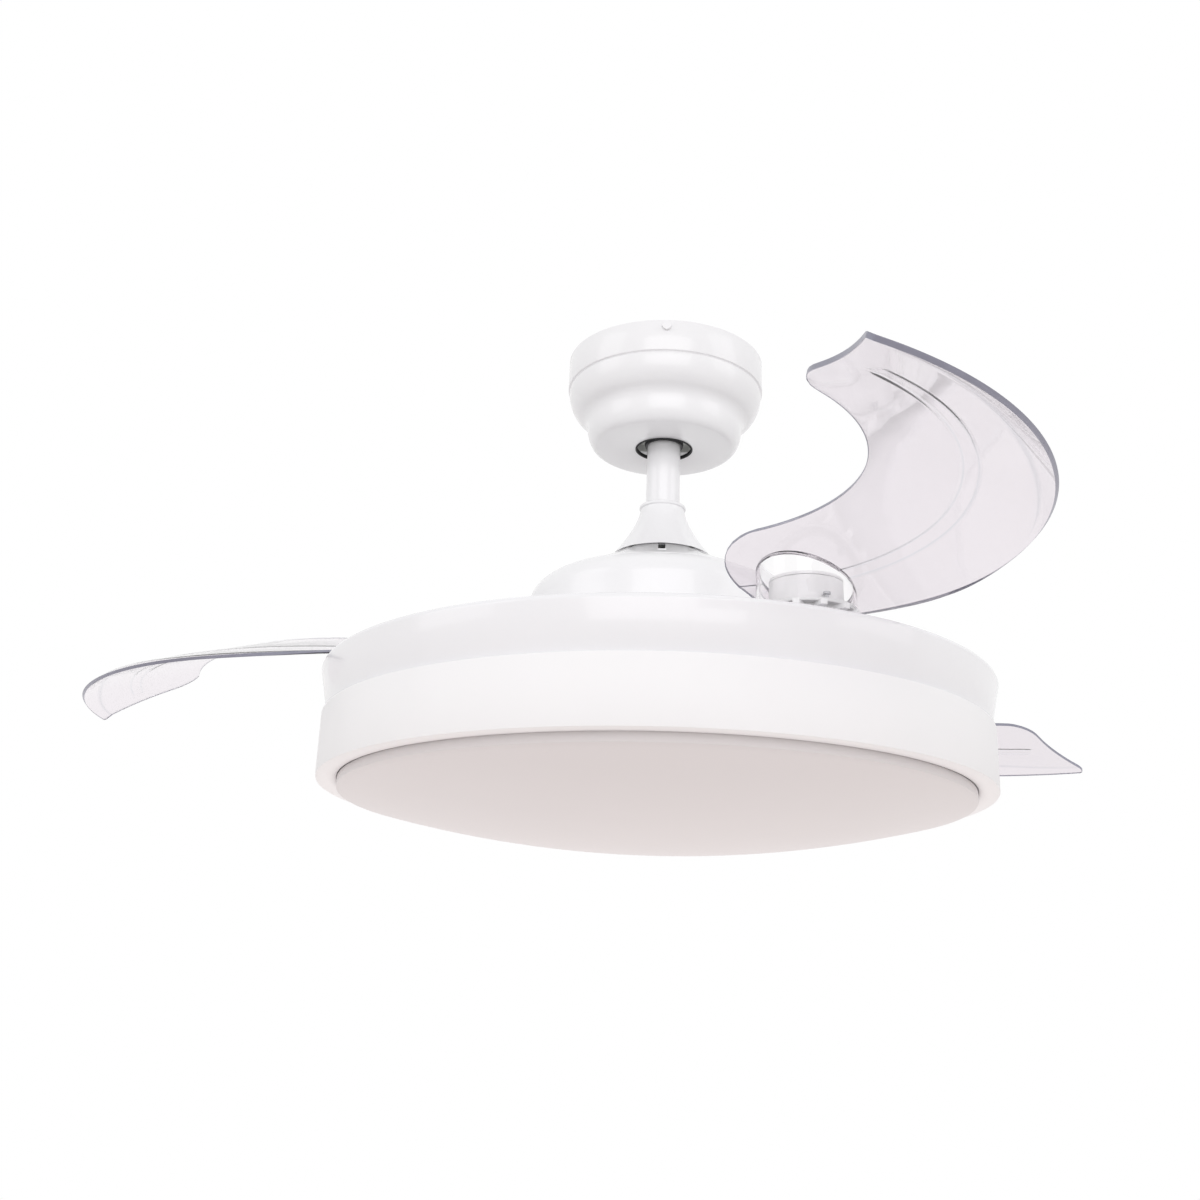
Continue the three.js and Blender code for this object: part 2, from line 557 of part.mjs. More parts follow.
/** Plate with three ears for the canopy and a stirrup that holds the ball's seat. */
function ceilingBracket() {
  const t = BRACKET_THICKNESS;
  const top = ring(BRACKET_PLATE_RADIUS, 0, -t, 0, MIDDLE_STEPS);
  const legs = [-1, 1].map((side) => box(
    side * (BRACKET_LEG_OFFSET + t / 2), 0, SEAT_BOTTOM_Z / 2, t, BRACKET_LEG_WIDTH, -SEAT_BOTTOM_Z,
  ));
  const seat = turned([
    ...arcBelow(BALL_Z, SEAT_OUTER, SEAT_TOP_ANGLE, SEAT_BOTTOM_ANGLE, 3),
    ...arcBelow(BALL_Z, SEAT_INNER, SEAT_TOP_ANGLE, SEAT_BOTTOM_ANGLE, 3).reverse(),
  ], BALL_STEPS);
  const floorHole = SEAT_INNER * Math.cos(SEAT_BOTTOM_ANGLE * DEGREE) + SEAT_HOLE_MARGIN;
  const floor = cut(
    box(0, 0, SEAT_BOTTOM_Z + t / 2, 2 * (BRACKET_LEG_OFFSET + t), BRACKET_FLOOR_DEPTH, t),
    ring(floorHole, 0, SEAT_BOTTOM_Z - BITE, SEAT_BOTTOM_Z + t + BITE, BALL_STEPS),
  );
  const wireHole = post([0, WIRE_HOLE_OFFSET], -t - BITE, BITE, WIRE_HOLE_RADIUS, SMALL_STEPS);
  const slots = [-1, 1].map((side) => box(
    side * CEILING_SLOT_OFFSET, 0, -t / 2, CEILING_SLOT_WIDTH, CEILING_SLOT_LENGTH, t + 2 * BITE,
  ));
  const rodWidth = 2 * (ROD_BORE + FIT_GAP);
  const rodWay = box(0, -BRACKET_FLOOR_DEPTH / 2, (BALL_Z + SEAT_BOTTOM_Z) / 2 - BITE,
    rodWidth, BRACKET_FLOOR_DEPTH, BALL_Z - SEAT_BOTTOM_Z + 2 * BITE);
  const ears = CANOPY_SCREW_ANGLES.flatMap(bracketEar);
  return cut(join(top, ...ears, ...legs, floor, seat), wireHole, ...slots, rodWay, ...canopyScrewHoles());
}

function receiver() {
  const top = -BRACKET_THICKNESS - FIT_GAP;
  return box(0, 0, top - RECEIVER_HEIGHT / 2, RECEIVER_LENGTH, RECEIVER_WIDTH, RECEIVER_HEIGHT);
}

// ---------------------------------------------------------------- ball joint and downrod

function ballLiner() {
  const inner = BALL_RADIUS + LINER_GAP;
  const outer = inner + LINER_THICKNESS;
  return turned([
    ...arcBelow(BALL_Z, outer, SEAT_TOP_ANGLE, LINER_BOTTOM_ANGLE, 3),
    ...arcBelow(BALL_Z, inner, SEAT_TOP_ANGLE, LINER_BOTTOM_ANGLE, 3).reverse(),
  ], BALL_STEPS);
}

/** A pin or hole along X through the axis. */
function crossPin(z, radius, reach) {
  return pin([-reach, 0, z], [reach, 0, z], radius);
}

function hangerBall() {
  const cutAngle = Math.asin(BALL_HALF_HEIGHT / BALL_RADIUS) / DEGREE;
  const outside = arcBelow(BALL_Z, BALL_RADIUS, -cutAngle, cutAngle, 6);
  const bore = [[ROD_BORE, BALL_Z - BALL_HALF_HEIGHT], [ROD_BORE, BALL_Z + BALL_HALF_HEIGHT]];
  return cut(turned([...outside, ...bore], BALL_STEPS), crossPin(BALL_Z, CROSS_HOLE, BALL_RADIUS + BITE));
}

function ballPin() {
  return crossPin(BALL_Z, CROSS_PIN_RADIUS, BALL_RADIUS - CROSS_PIN_RADIUS / 2);
}

function downrod() {
  const tube = ring(ROD_RADIUS, ROD_RADIUS - ROD_WALL, ROD_BOTTOM_Z, ROD_TOP_Z, BALL_STEPS);
  const holes = [BALL_Z, CLEVIS_Z].map((z) => crossPin(z, CROSS_HOLE, ROD_RADIUS + BITE));
  return cut(tube, ...holes);
}

/** Sleeve round the rod's end whose web sits on the motor's shaft. */
function couplingCollar() {
  const webBottom = WEB_TOP_Z - COLLAR_WEB;
  const top = WEB_TOP_Z + COLLAR_HEIGHT;
  const body = turned([
    [ROD_BORE, top], [COLLAR_RADIUS, top], [COLLAR_RADIUS, webBottom],
    [SHAFT_HOLE, webBottom], [SHAFT_HOLE, WEB_TOP_Z], [ROD_BORE, WEB_TOP_Z],
  ], BALL_STEPS);
  const screwHoles = [-1, 1].map((side) => pin(
    [0, side * (ROD_BORE - BITE), SET_SCREW_Z],
    [0, side * (COLLAR_RADIUS + BITE), SET_SCREW_Z],
    SET_SCREW_RADIUS + FIT_GAP,
  ));
  return cut(body, crossPin(CLEVIS_Z, CROSS_HOLE, COLLAR_RADIUS + BITE), ...screwHoles);
}

function clevisPin() {
  const seat = -COLLAR_RADIUS - FIT_GAP;
  const shank = pin([seat - BITE, 0, CLEVIS_Z], [COLLAR_RADIUS + CLEVIS_TAIL, 0, CLEVIS_Z], CROSS_PIN_RADIUS);
  const head = pin([seat - CLEVIS_HEAD_HEIGHT, 0, CLEVIS_Z], [seat, 0, CLEVIS_Z], CLEVIS_HEAD_RADIUS);
  const reach = CROSS_PIN_RADIUS + BITE;
  const clipHole = pin([CLIP_X, -reach, CLEVIS_Z], [CLIP_X, reach, CLEVIS_Z], CLIP_HOLE_RADIUS);
  return cut(join(shank, head), clipHole);
}

/** Bent wire through the end of the clevis pin: one leg in the hole, the other over the pin. */
function pinClip() {
  const rise = CROSS_PIN_RADIUS + 2 * CLIP_WIRE_RADIUS + FIT_GAP;
  const end = 2 * CROSS_PIN_RADIUS;
  const bend = end + CLIP_WIRE_RADIUS;
  const route = [
    [-end, 0], [0, 0], [end - BITE, 0], [bend, rise / 3], [bend, (2 * rise) / 3 + BITE], [end - BITE, rise],
    [2 * BITE - end, rise],
  ];
  const path = new THREE.CatmullRomCurve3(
    route.map(([y, z]) => new THREE.Vector3(CLIP_X, y, CLEVIS_Z + z)),
  );
  const corners = around(SCREW_STEPS).map((angle) => new THREE.Vector2(...polar(CLIP_WIRE_RADIUS, angle)));
  const options = { steps: 18, extrudePath: path, bevelEnabled: false };
  return tidy(new THREE.ExtrudeGeometry(new THREE.Shape(corners), options));
}

function setScrew(side) {
  const seat = COLLAR_RADIUS + FIT_GAP;
  const at = (reach) => [0, side * reach, SET_SCREW_Z];
  const shank = pin(at(ROD_RADIUS + FIT_GAP), at(seat + BITE), SET_SCREW_RADIUS);
  const head = pin(at(seat), at(seat + SET_SCREW_HEAD_HEIGHT), SET_SCREW_HEAD_RADIUS, SCREW_STEPS);
  return join(shank, head);
}

function couplingCover() {
  const bore = ROD_RADIUS + COVER_BORE_GAP;
  const coneTop = COVER_TOP_Z - COVER_LIP_HEIGHT;
  const flare = (share, inset) => [
    COVER_TOP_RADIUS + (COVER_BOTTOM_RADIUS - COVER_TOP_RADIUS) * share ** COVER_FLARE - inset,
    coneTop + (COVER_BOTTOM_Z - coneTop) * share,
  ];
  const outside = [0, 0.25, 0.5, 0.75, 1].map((share) => flare(share, 0));
  const inside = [1, 0.5, 0.1].map((share) => flare(share, COVER_WALL));
  const lip = COVER_TOP_RADIUS + COVER_LIP;
  const lipBottom = coneTop + COVER_LIP / 2;
  return turned([
    [bore, COVER_TOP_Z], [lip, COVER_TOP_Z], [lip, lipBottom], ...outside, ...inside, [bore, coneTop - COVER_WALL],
  ], MIDDLE_STEPS);
}

// ---------------------------------------------------------------- motor

function motorShaft() {
  return ring(SHAFT_RADIUS, SHAFT_BORE, SHAFT_BOTTOM_Z, SHAFT_TOP_Z);
}

function shaftNut() {
  const bottom = NUT_TOP_Z - SHAFT_NUT_HEIGHT;
  const hexagon = ring(SHAFT_NUT_RADIUS, 0, bottom, NUT_TOP_Z, 6);
  return cut(hexagon, ring(SHAFT_HOLE, 0, bottom - BITE, NUT_TOP_Z + BITE));
}

/** Half of the rotor shell; side is 1 for the upper half and -1 for the lower one. */
function rotorShell(side) {
  const end = side > 0 ? MOTOR_TOP_Z : MOTOR_BOTTOM_Z;
  const inner = end - side * MOTOR_WALL;
  const edge = MOTOR_MIDDLE_Z + (side * FIT_GAP) / 2;
  const wall = MOTOR_RADIUS - MOTOR_WALL;
  const hole = SHAFT_RADIUS + MOTOR_HOLE_GAP;
  const seat = BEARING_RADIUS + FIT_GAP;
  const seatWall = seat + BEARING_SEAT_WALL;
  const seatEnd = inner - side * (BEARING_HEIGHT + BEARING_SEAT_EXTRA);
  return turned([
    [hole, end], [MOTOR_RADIUS, end], [MOTOR_RADIUS, edge], [wall, edge], [wall, inner],
    [seatWall, inner], [seatWall, seatEnd], [seat, seatEnd], [seat, inner], [hole, inner],
  ], MIDDLE_STEPS);
}

function bearing(side) {
  const start = (side > 0 ? MOTOR_TOP_Z : MOTOR_BOTTOM_Z) - side * (MOTOR_WALL + FIT_GAP);
  const end = start - side * BEARING_HEIGHT;
  return ring(BEARING_RADIUS, SHAFT_HOLE, Math.min(start, end), Math.max(start, end));
}

function magnetRing() {
  const bottom = MOTOR_MIDDLE_Z - MAGNET_HEIGHT / 2;
  return ring(MAGNET_RADIUS, MAGNET_RADIUS - MAGNET_THICKNESS, bottom, bottom + MAGNET_HEIGHT, MIDDLE_STEPS);
}

/** One box in each of the stator's slots. */
function inSlots(fromRadius, toRadius, width, height) {
  const middle = (fromRadius + toRadius) / 2;
  return around(STATOR_TEETH).map((angle) => box(
    middle, 0, MOTOR_MIDDLE_Z, toRadius - fromRadius, width, height,
  ).rotateZ(angle * DEGREE));
}

function statorCore() {
  const half = STATOR_HEIGHT / 2;
  const disc = ring(STATOR_RADIUS, SHAFT_HOLE, MOTOR_MIDDLE_Z - half, MOTOR_MIDDLE_Z + half, STATOR_TEETH * 2);
  const slots = inSlots(STATOR_SLOT_RADIUS, STATOR_RADIUS + BITE, STATOR_SLOT_WIDTH, STATOR_HEIGHT + 2 * BITE);
  return cut(disc, ...slots);
}

/** A ring of wire above and below the stator, joined through its slots. */
function statorWinding() {
  const start = STATOR_HEIGHT / 2 + FIT_GAP;
  const outer = STATOR_RADIUS - WINDING_OUTER_STEP;
  const inner = STATOR_SLOT_RADIUS + WINDING_INNER_STEP;
  const rings = [MOTOR_MIDDLE_Z + start, MOTOR_MIDDLE_Z - start - WINDING_HEIGHT].map((bottom) => (
    ring(outer, inner, bottom, bottom + WINDING_HEIGHT, STATOR_TEETH * 2)
  ));
  const barWidth = STATOR_SLOT_WIDTH - 2 * FIT_GAP;
  const bars = inSlots(inner + WINDING_BAR_STEP, outer - WINDING_BAR_STEP, barWidth, 2 * (start + BITE));
  return join(...rings, ...bars);
}

/** The motor cover's top and round shoulder, moved in by a wall. */
function domeLine(inset) {
  const shoulder = DOME_RADIUS - DOME_ROUND_REACH;
  const roundBottom = DOME_TOP_Z - DOME_SHOULDER_DROP - DOME_ROUND_DROP;
  const round = quarter(shoulder, roundBottom, DOME_ROUND_REACH - inset, inset - DOME_ROUND_DROP, 4).reverse();
  const top = DOME_TOP_Z - inset;
  return [[DOME_HOLE_RADIUS, top], [COVER_BOTTOM_RADIUS - DOME_FLAT_STEP, top], ...round];
}

function domeScrewPlaces() {
  return around(DOME_SCREW_COUNT, DOME_SCREW_ANGLE).map((angle) => polar(DOME_SCREW_RING, angle));
}

function domeScrewHoles(bottom, top) {
  const radius = DOME_SCREW_RADIUS + FIT_GAP;
  return domeScrewPlaces().map((place) => post(place, bottom - BITE, top + BITE, radius, SCREW_STEPS));
}

function motorCover() {
  const shell = turned([
    ...domeLine(0),
    [DOME_RADIUS, FLANGE_TOP_Z], [DOME_FLANGE_RADIUS, FLANGE_TOP_Z], [DOME_FLANGE_RADIUS, FLANGE_BOTTOM_Z],
    [DOME_RADIUS - DOME_WALL, FLANGE_BOTTOM_Z],
    ...domeLine(DOME_WALL).reverse(),
  ], MIDDLE_STEPS);
  const slotMiddle = COVER_BOTTOM_RADIUS - DOME_FLAT_STEP + DOME_SLOT_LENGTH / 2;
  const slotHeight = 2 * DOME_SHOULDER_DROP;
  const slots = around(DOME_SLOT_COUNT).map((angle) => box(
    slotMiddle, 0, DOME_TOP_Z, DOME_SLOT_LENGTH, DOME_SLOT_WIDTH, slotHeight,
  ).rotateZ(angle * DEGREE));
  return cut(shell, ...slots, ...domeScrewHoles(FLANGE_BOTTOM_Z, FLANGE_TOP_Z));
}

function domeScrew(place) {
  const seat = FLANGE_TOP_Z + FIT_GAP;
  const shank = post(place, CARRIER_BOTTOM_Z, seat + BITE, DOME_SCREW_RADIUS, SCREW_STEPS);
  const head = post(place, seat, seat + DOME_SCREW_HEAD_HEIGHT, DOME_SCREW_HEAD_RADIUS);
  return join(shank, head);
}

// ---------------------------------------------------------------- blade carrier

function bladeCarrier() {
  const edge = PIVOT_RADIUS + CARRIER_MARGIN;
  const rimOuter = RING_GEAR_BORE - GUIDE_GAP;
  const rimInner = rimOuter - GUIDE_RIM_WALL;
  const rimTop = CARRIER_TOP_Z + GUIDE_RIM_HEIGHT;
  const disc = turned([
    [CARRIER_HOLE_RADIUS, CARRIER_BOTTOM_Z], [edge, CARRIER_BOTTOM_Z], [edge, CARRIER_TOP_Z],
    [rimOuter, CARRIER_TOP_Z], [rimOuter, rimTop], [rimInner, rimTop], [rimInner, CARRIER_TOP_Z],
    [CARRIER_HOLE_RADIUS, CARRIER_TOP_Z],
  ], ROUND_STEPS);
  const pivotHoles = around(BLADE_COUNT, PIVOT_ANGLE).map((angle) => (
    post(polar(PIVOT_RADIUS, angle), CARRIER_BOTTOM_Z - BITE, CARRIER_TOP_Z + BITE, SLEEVE_BORE)
  ));
  return cut(disc, ...pivotHoles, ...domeScrewHoles(CARRIER_BOTTOM_Z, CARRIER_TOP_Z));
}

/** Ring that keeps the three blades in step. It has teeth only where the hubs' teeth reach it. */
function syncRing() {
  const teethPerBlade = RING_TEETH / BLADE_COUNT;
  const travel = Math.ceil((FOLD_ANGLE / 360) * PINION_TEETH);
  const isWanted = (i) => (i + travel + SPARE_TEETH) % teethPerBlade <= travel + 2 * SPARE_TEETH;
  const teeth = plate(gearOutline(RING_TEETH, PIVOT_ANGLE, isWanted), GEAR_BOTTOM_Z, GEAR_TOP_Z);
  return cut(teeth, ring(RING_GEAR_BORE, 0, GEAR_BOTTOM_Z - BITE, GEAR_TOP_Z + BITE, ROUND_STEPS));
}

// ---------------------------------------------------------------- blades, in the pivot's own frame

/** Where the folded blade starts at a radius: its root is a half circle round the pivot. */
function rootAngle(radius) {
  const middle = (BLADE_OUTER_RADIUS + BLADE_INNER_RADIUS) / 2;
  const reach = Math.sqrt(Math.max(0, (BLADE_WIDTH / 2) ** 2 - (radius - middle) ** 2));
  return PIVOT_ANGLE + reach / radius / DEGREE;
}

/** Where the folded blade ends at a radius: a bowed edge with two round corners. */
function tipAngle(radius) {
  const fromInner = radius - BLADE_INNER_RADIUS;
  const fromOuter = BLADE_OUTER_RADIUS - radius;
  const straight = TIP_INNER_ANGLE + ((TIP_OUTER_ANGLE - TIP_INNER_ANGLE) * fromInner) / BLADE_WIDTH;
  const round = (distance, size) => size - Math.sqrt(size ** 2 - Math.max(0, size - distance) ** 2);
  const hollow = TIP_HOLLOW * Math.sin((Math.PI * fromInner) / BLADE_WIDTH);
  const inset = round(fromInner, TIP_INNER_ROUND) + round(fromOuter, TIP_OUTER_ROUND) + hollow;
  return straight + inset / radius / DEGREE;
}

/** Underside height of the blade at a radius and a share of its length. */
function bladeUnderside(radius, share) {
  const fromInner = radius - BLADE_INNER_RADIUS;
  const fromOuter = BLADE_OUTER_RADIUS - radius;
  const along = Math.min(1, share / BLADE_ROOT_SHARE);
  const innerHeight = BLADE_INNER_HEIGHT - BLADE_INNER_SINK * share;
  const outerHeight = BLADE_OUTER_HEIGHT + BLADE_ROOT_RISE * (1 - along);
  const depth = BLADE_LIP_DROP * along;
  const drop = ((innerHeight - outerHeight - depth) * fromInner) / BLADE_WIDTH;
  const bend = Math.max(0, 1 - fromOuter / BLADE_LIP_WIDTH) ** BLADE_LIP_CURVE;
  return CARRIER_TOP_Z + innerHeight - drop - bend * depth;
}

/** A solid over the blade's outline, from a lower surface up to the blade's upper surface. */
function overBlade(lower) {
  const columns = BLADE_COLUMNS.length;
  const [pivotX, pivotY] = polar(PIVOT_RADIUS, PIVOT_ANGLE);
  const points = [];
  for (const upper of [false, true]) {
    for (let i = 0; i <= BLADE_STEPS; i += 1) {
      const share = i / BLADE_STEPS;
      for (const part of BLADE_COLUMNS) {
        const radius = BLADE_INNER_RADIUS + part * BLADE_WIDTH;
        const angle = rootAngle(radius) + (tipAngle(radius) - rootAngle(radius)) * share;
        const [x, y] = polar(radius, angle);
        const underside = bladeUnderside(radius, share);
        points.push(x - pivotX, y - pivotY, upper ? underside + BLADE_THICKNESS : lower(underside));
      }
    }
  }
  const sheet = columns * (BLADE_STEPS + 1);
  const faces = [];
  const quad = (a, b, c, d) => faces.push(a, b, c, a, c, d);
  const wall = (a, b) => quad(b, sheet + b, sheet + a, a);
  for (let i = 0; i < BLADE_STEPS; i += 1) {
    const row = i * columns;
    const next = row + columns;
    for (let j = 0; j < columns - 1; j += 1) {
      quad(row + j, row + j + 1, next + j + 1, next + j);
      quad(sheet + row + j, sheet + next + j, sheet + next + j + 1, sheet + row + j + 1);
    }
    wall(row, next);
    wall(next + columns - 1, row + columns - 1);
  }
  const tipRow = BLADE_STEPS * columns;
  for (let j = 0; j < columns - 1; j += 1) {
    wall(j + 1, j);
    wall(tipRow + j, tipRow + j + 1);
  }
  const geometry = new THREE.BufferGeometry();
  geometry.setAttribute('position', new THREE.Float32BufferAttribute(points, 3));
  geometry.setIndex(faces);
  return geometry;
}

function bladeScrewPlaces() {
  return BLADE_SCREW_ANGLES.map((angle) => polar(BLADE_SCREW_RING, angle));
}

function bladeScrewHoles(bottom, top) {
  const radius = BLADE_SCREW_RADIUS + FIT_GAP;
  return bladeScrewPlaces().map((place) => post(place, bottom, top + BITE, radius, SCREW_STEPS));
}

/** A thin bowed sheet with a bent outer edge; a cup under its root sits round the hub. */
function blade() {
  const sheet = overBlade((underside) => underside);
  const space = overBlade(() => CUP_BOTTOM_Z - BITE);
  const bore = ring(CUP_BORE, 0, CUP_FLOOR_TOP_Z, BLADE_TOP_Z + BITE, CUP_STEPS);
  const tube = cut(ring(CUP_RADIUS, 0, CUP_BOTTOM_Z, BLADE_TOP_Z, CUP_STEPS), bore);
  const cup = overlap(tube, space);
  const floorHole = ring(CUP_FLOOR_HOLE, 0, CUP_BOTTOM_Z - BITE, CUP_FLOOR_TOP_Z + BITE, CUP_STEPS);
  const screwHoles = bladeScrewHoles(CUP_BOTTOM_Z - BITE, CUP_FLOOR_TOP_Z);
  return cut(join(cut(sheet, bore), cup), floorHole, ...screwHoles);
}

/** Toothed hub that turns on the pivot's bolt and carries the blade. */
function pivotHub() {
  const ringSide = PIVOT_ANGLE + 180 - FOLD_ANGLE;
  const firstTooth = ringSide + 180 / PINION_TEETH;
  const pinion = plate(gearOutline(PINION_TEETH, firstTooth), GEAR_BOTTOM_Z, HUB_BOTTOM_Z + BITE);
  const inner = HUB_DRUM_RADIUS - HUB_DRUM_WALL;
  const body = turned([
    [0, HUB_BOTTOM_Z], [HUB_FLANGE_RADIUS, HUB_BOTTOM_Z], [HUB_FLANGE_RADIUS, HUB_FLANGE_TOP_Z],
    [HUB_DRUM_RADIUS, HUB_FLANGE_TOP_Z], [HUB_DRUM_RADIUS, HUB_TOP_Z], [inner, HUB_TOP_Z],
    [inner, HUB_FLANGE_TOP_Z], [HUB_SLEEVE_RADIUS, HUB_FLANGE_TOP_Z], [HUB_SLEEVE_RADIUS, SLEEVE_TOP_Z],
    [0, SLEEVE_TOP_Z],
  ], CUP_STEPS);
  const bore = post([0, 0], GEAR_BOTTOM_Z - BITE, SLEEVE_TOP_Z + BITE, SLEEVE_BORE);
  return cut(join(pinion, body), bore, ...bladeScrewHoles(HUB_BOTTOM_Z + FIT_GAP, HUB_FLANGE_TOP_Z));
}

function pivotCap() {
  const bottom = HUB_TOP_Z + FIT_GAP;
  return ring(HUB_DRUM_RADIUS, 0, bottom, bottom + CAP_THICKNESS, CUP_STEPS);
}

function bladeScrew(place) {
  const seat = CUP_FLOOR_TOP_Z + FIT_GAP;
  const shank = post(place, HUB_BOTTOM_Z + 2 * FIT_GAP, seat + BITE, BLADE_SCREW_RADIUS, SCREW_STEPS);
  const head = post(place, seat, seat + BLADE_SCREW_HEAD_HEIGHT, BLADE_SCREW_HEAD_RADIUS);
  return join(shank, head);
}

function pivotBolt() {
  const seat = SLEEVE_TOP_Z + FIT_GAP;
  const shank = post([0, 0], CARRIER_BOTTOM_Z, seat + BITE, PIVOT_BOLT_RADIUS);
  const head = post([0, 0], seat, seat + PIVOT_HEAD_HEIGHT, PIVOT_HEAD_RADIUS, 6);
  return join(shank, head);
}

function foldSpring() {
  const bottom = HUB_FLANGE_TOP_Z + FIT_GAP;
  return ring(SPRING_OUTER_RADIUS, SPRING_INNER_RADIUS, bottom, bottom + SPRING_HEIGHT);
}

// ---------------------------------------------------------------- lamp drum

/** Upper tier: a flat top on the motor's shaft and a side that flares upwards. */
function upperHousing() {
  const round = TIER_EDGE_ROUND;
  const edge = quarter(TIER_TOP_RADIUS - round, DRUM_TOP_Z - round, round, -round, 2);
  const plateBottom = DRUM_TOP_Z - TIER_WALL;
  const flangeTop = TIER_BOTTOM_Z + TIER_WALL;
  const flangeInner = TIER_BOTTOM_RADIUS - TIER_FLANGE;
  return turned([
    [TIER_BOTTOM_RADIUS, TIER_BOTTOM_Z], ...edge, [SHAFT_HOLE, DRUM_TOP_Z], [SHAFT_HOLE, plateBottom],
    [TIER_TOP_RADIUS - round, plateBottom], [TIER_BOTTOM_RADIUS - TIER_WALL, flangeTop],
    [flangeInner, flangeTop], [flangeInner, TIER_BOTTOM_Z],
  ], ROUND_STEPS);
}

function tabAngles() {
  return around(TAB_COUNT, TAB_ANGLE);
}

/** Lower tier: a plain band with a lip under it and three ledges that the diffuser hangs on. */
function lowerRing() {
  const inner = RING_RADIUS - RING_WALL;
  const lip = RING_RADIUS - RING_LIP;
  const flange = RING_RADIUS - RING_TOP_FLANGE;
  const lipTop = RING_BOTTOM_Z + RING_WALL;
  const flangeBottom = RING_TOP_Z - RING_WALL;
  const body = turned([
    [RING_RADIUS, RING_BOTTOM_Z], [RING_RADIUS, RING_TOP_Z], [flange, RING_TOP_Z], [flange, flangeBottom],
    [inner, flangeBottom], [inner, lipTop], [lip, lipTop], [lip, RING_BOTTOM_Z],
  ], ROUND_STEPS);
  const ledgeTop = TAB_BOTTOM_Z - FIT_GAP;
  const ledges = tabAngles().map((angle) => sector(
    inner + BITE, NECK_RADIUS + DIFFUSER_GAP, angle, LEDGE_WIDTH_ANGLE, ledgeTop - LEDGE_THICKNESS, ledgeTop,
  ));
  return join(body, ...ledges);
}

/** Points on a shallow bowl from the axis out to its edge. */
function bowl(radius, edgeZ, depth, steps) {
  return Array.from({ length: steps + 1 }, (_, i) => {
    const share = i / steps;
    return [radius * share, edgeZ - depth * (1 - share ** 2)];
  });
}

function diffuser() {
  const step = RING_BOTTOM_Z + DIFFUSER_STEP_RISE;
  const sideBottom = RING_BOTTOM_Z - DIFFUSER_SIDE;
  const inner = NECK_RADIUS - DIFFUSER_WALL;
  const outside = bowl(DIFFUSER_RADIUS, sideBottom, DIFFUSER_BULGE, 4);
  const inside = bowl(inner, sideBottom + DIFFUSER_WALL, DIFFUSER_BULGE, 4).reverse();
  const shell = turned([
    ...outside, [DIFFUSER_RADIUS, step], [NECK_RADIUS, step], [NECK_RADIUS, NECK_TOP_Z],
    [inner, NECK_TOP_Z], ...inside,
  ], ROUND_STEPS);
  const tabs = tabAngles().map((angle) => sector(
    DIFFUSER_RADIUS, NECK_RADIUS - BITE, angle, TAB_WIDTH_ANGLE, TAB_BOTTOM_Z, NECK_TOP_Z,
  ));
  return join(shell, ...tabs);
}

function lightTray() {
  return ring(RING_RADIUS - RING_WALL - FIT_GAP, TRAY_HOLE_RADIUS, TRAY_BOTTOM_Z, TRAY_TOP_Z, ROUND_STEPS);
}

function ledBoard() {
  const top = TRAY_BOTTOM_Z - FIT_GAP;
  return ring(LED_BOARD_OUTER, LED_BOARD_INNER, top - LED_BOARD_THICKNESS, top, MIDDLE_STEPS);
}

function ledDriver() {
  const middle = TRAY_BOTTOM_Z - FIT_GAP - DRIVER_HEIGHT / 2;
  return box(0, 0, middle, DRIVER_LENGTH, DRIVER_WIDTH, DRIVER_HEIGHT);
}

// ---------------------------------------------------------------- assembly

const fan = new THREE.Group();

function add(name, geometry, material, parent = fan) {
  const mesh = new THREE.Mesh(geometry, material);
  mesh.name = name;
  parent.add(mesh);
}

function addGroup([x, y], turn) {
  const group = new THREE.Group();
  group.position.set(x, y, 0);
  group.rotation.z = turn * DEGREE;
  fan.add(group);
  return group;
}

add('ceiling_bracket', ceilingBracket(), ZINC);
add('canopy', canopy(), WHITE_PAINT);
CANOPY_SCREW_ANGLES.forEach((angle, i) => add(`canopy_screw_${i + 1}`, canopyScrew(angle), WHITE_PAINT));
add('receiver', receiver(), WHITE_PLASTIC);
add('ball_liner', ballLiner(), BLACK_RUBBER);
add('hanger_ball', hangerBall(), BLACK_PLASTIC);
add('ball_pin', ballPin(), STEEL);
add('downrod', downrod(), WHITE_PAINT);
add('coupling_collar', couplingCollar(), ZINC);
add('coupling_cover', couplingCover(), WHITE_PAINT);
add('clevis_pin', clevisPin(), STEEL);
add('pin_clip', pinClip(), STEEL);
[-1, 1].forEach((side, i) => add(`set_screw_${i + 1}`, setScrew(side), STEEL));

add('motor_shaft', motorShaft(), STEEL);
add('shaft_nut', shaftNut(), ZINC);
add('stator_core', statorCore(), LAMINATION);
add('stator_winding', statorWinding(), COPPER);
add('rotor_shell_upper', rotorShell(1), LAMINATION);
add('rotor_shell_lower', rotorShell(-1), LAMINATION);
add('magnet_ring', magnetRing(), MAGNET);
add('bearing_upper', bearing(1), STEEL);
add('bearing_lower', bearing(-1), STEEL);
add('motor_cover', motorCover(), WHITE_PAINT);
domeScrewPlaces().forEach((place, i) => add(`cover_screw_${i + 1}`, domeScrew(place), STEEL));
add('blade_carrier', bladeCarrier(), WHITE_PLASTIC);
add('sync_ring', syncRing(), WHITE_PLASTIC);

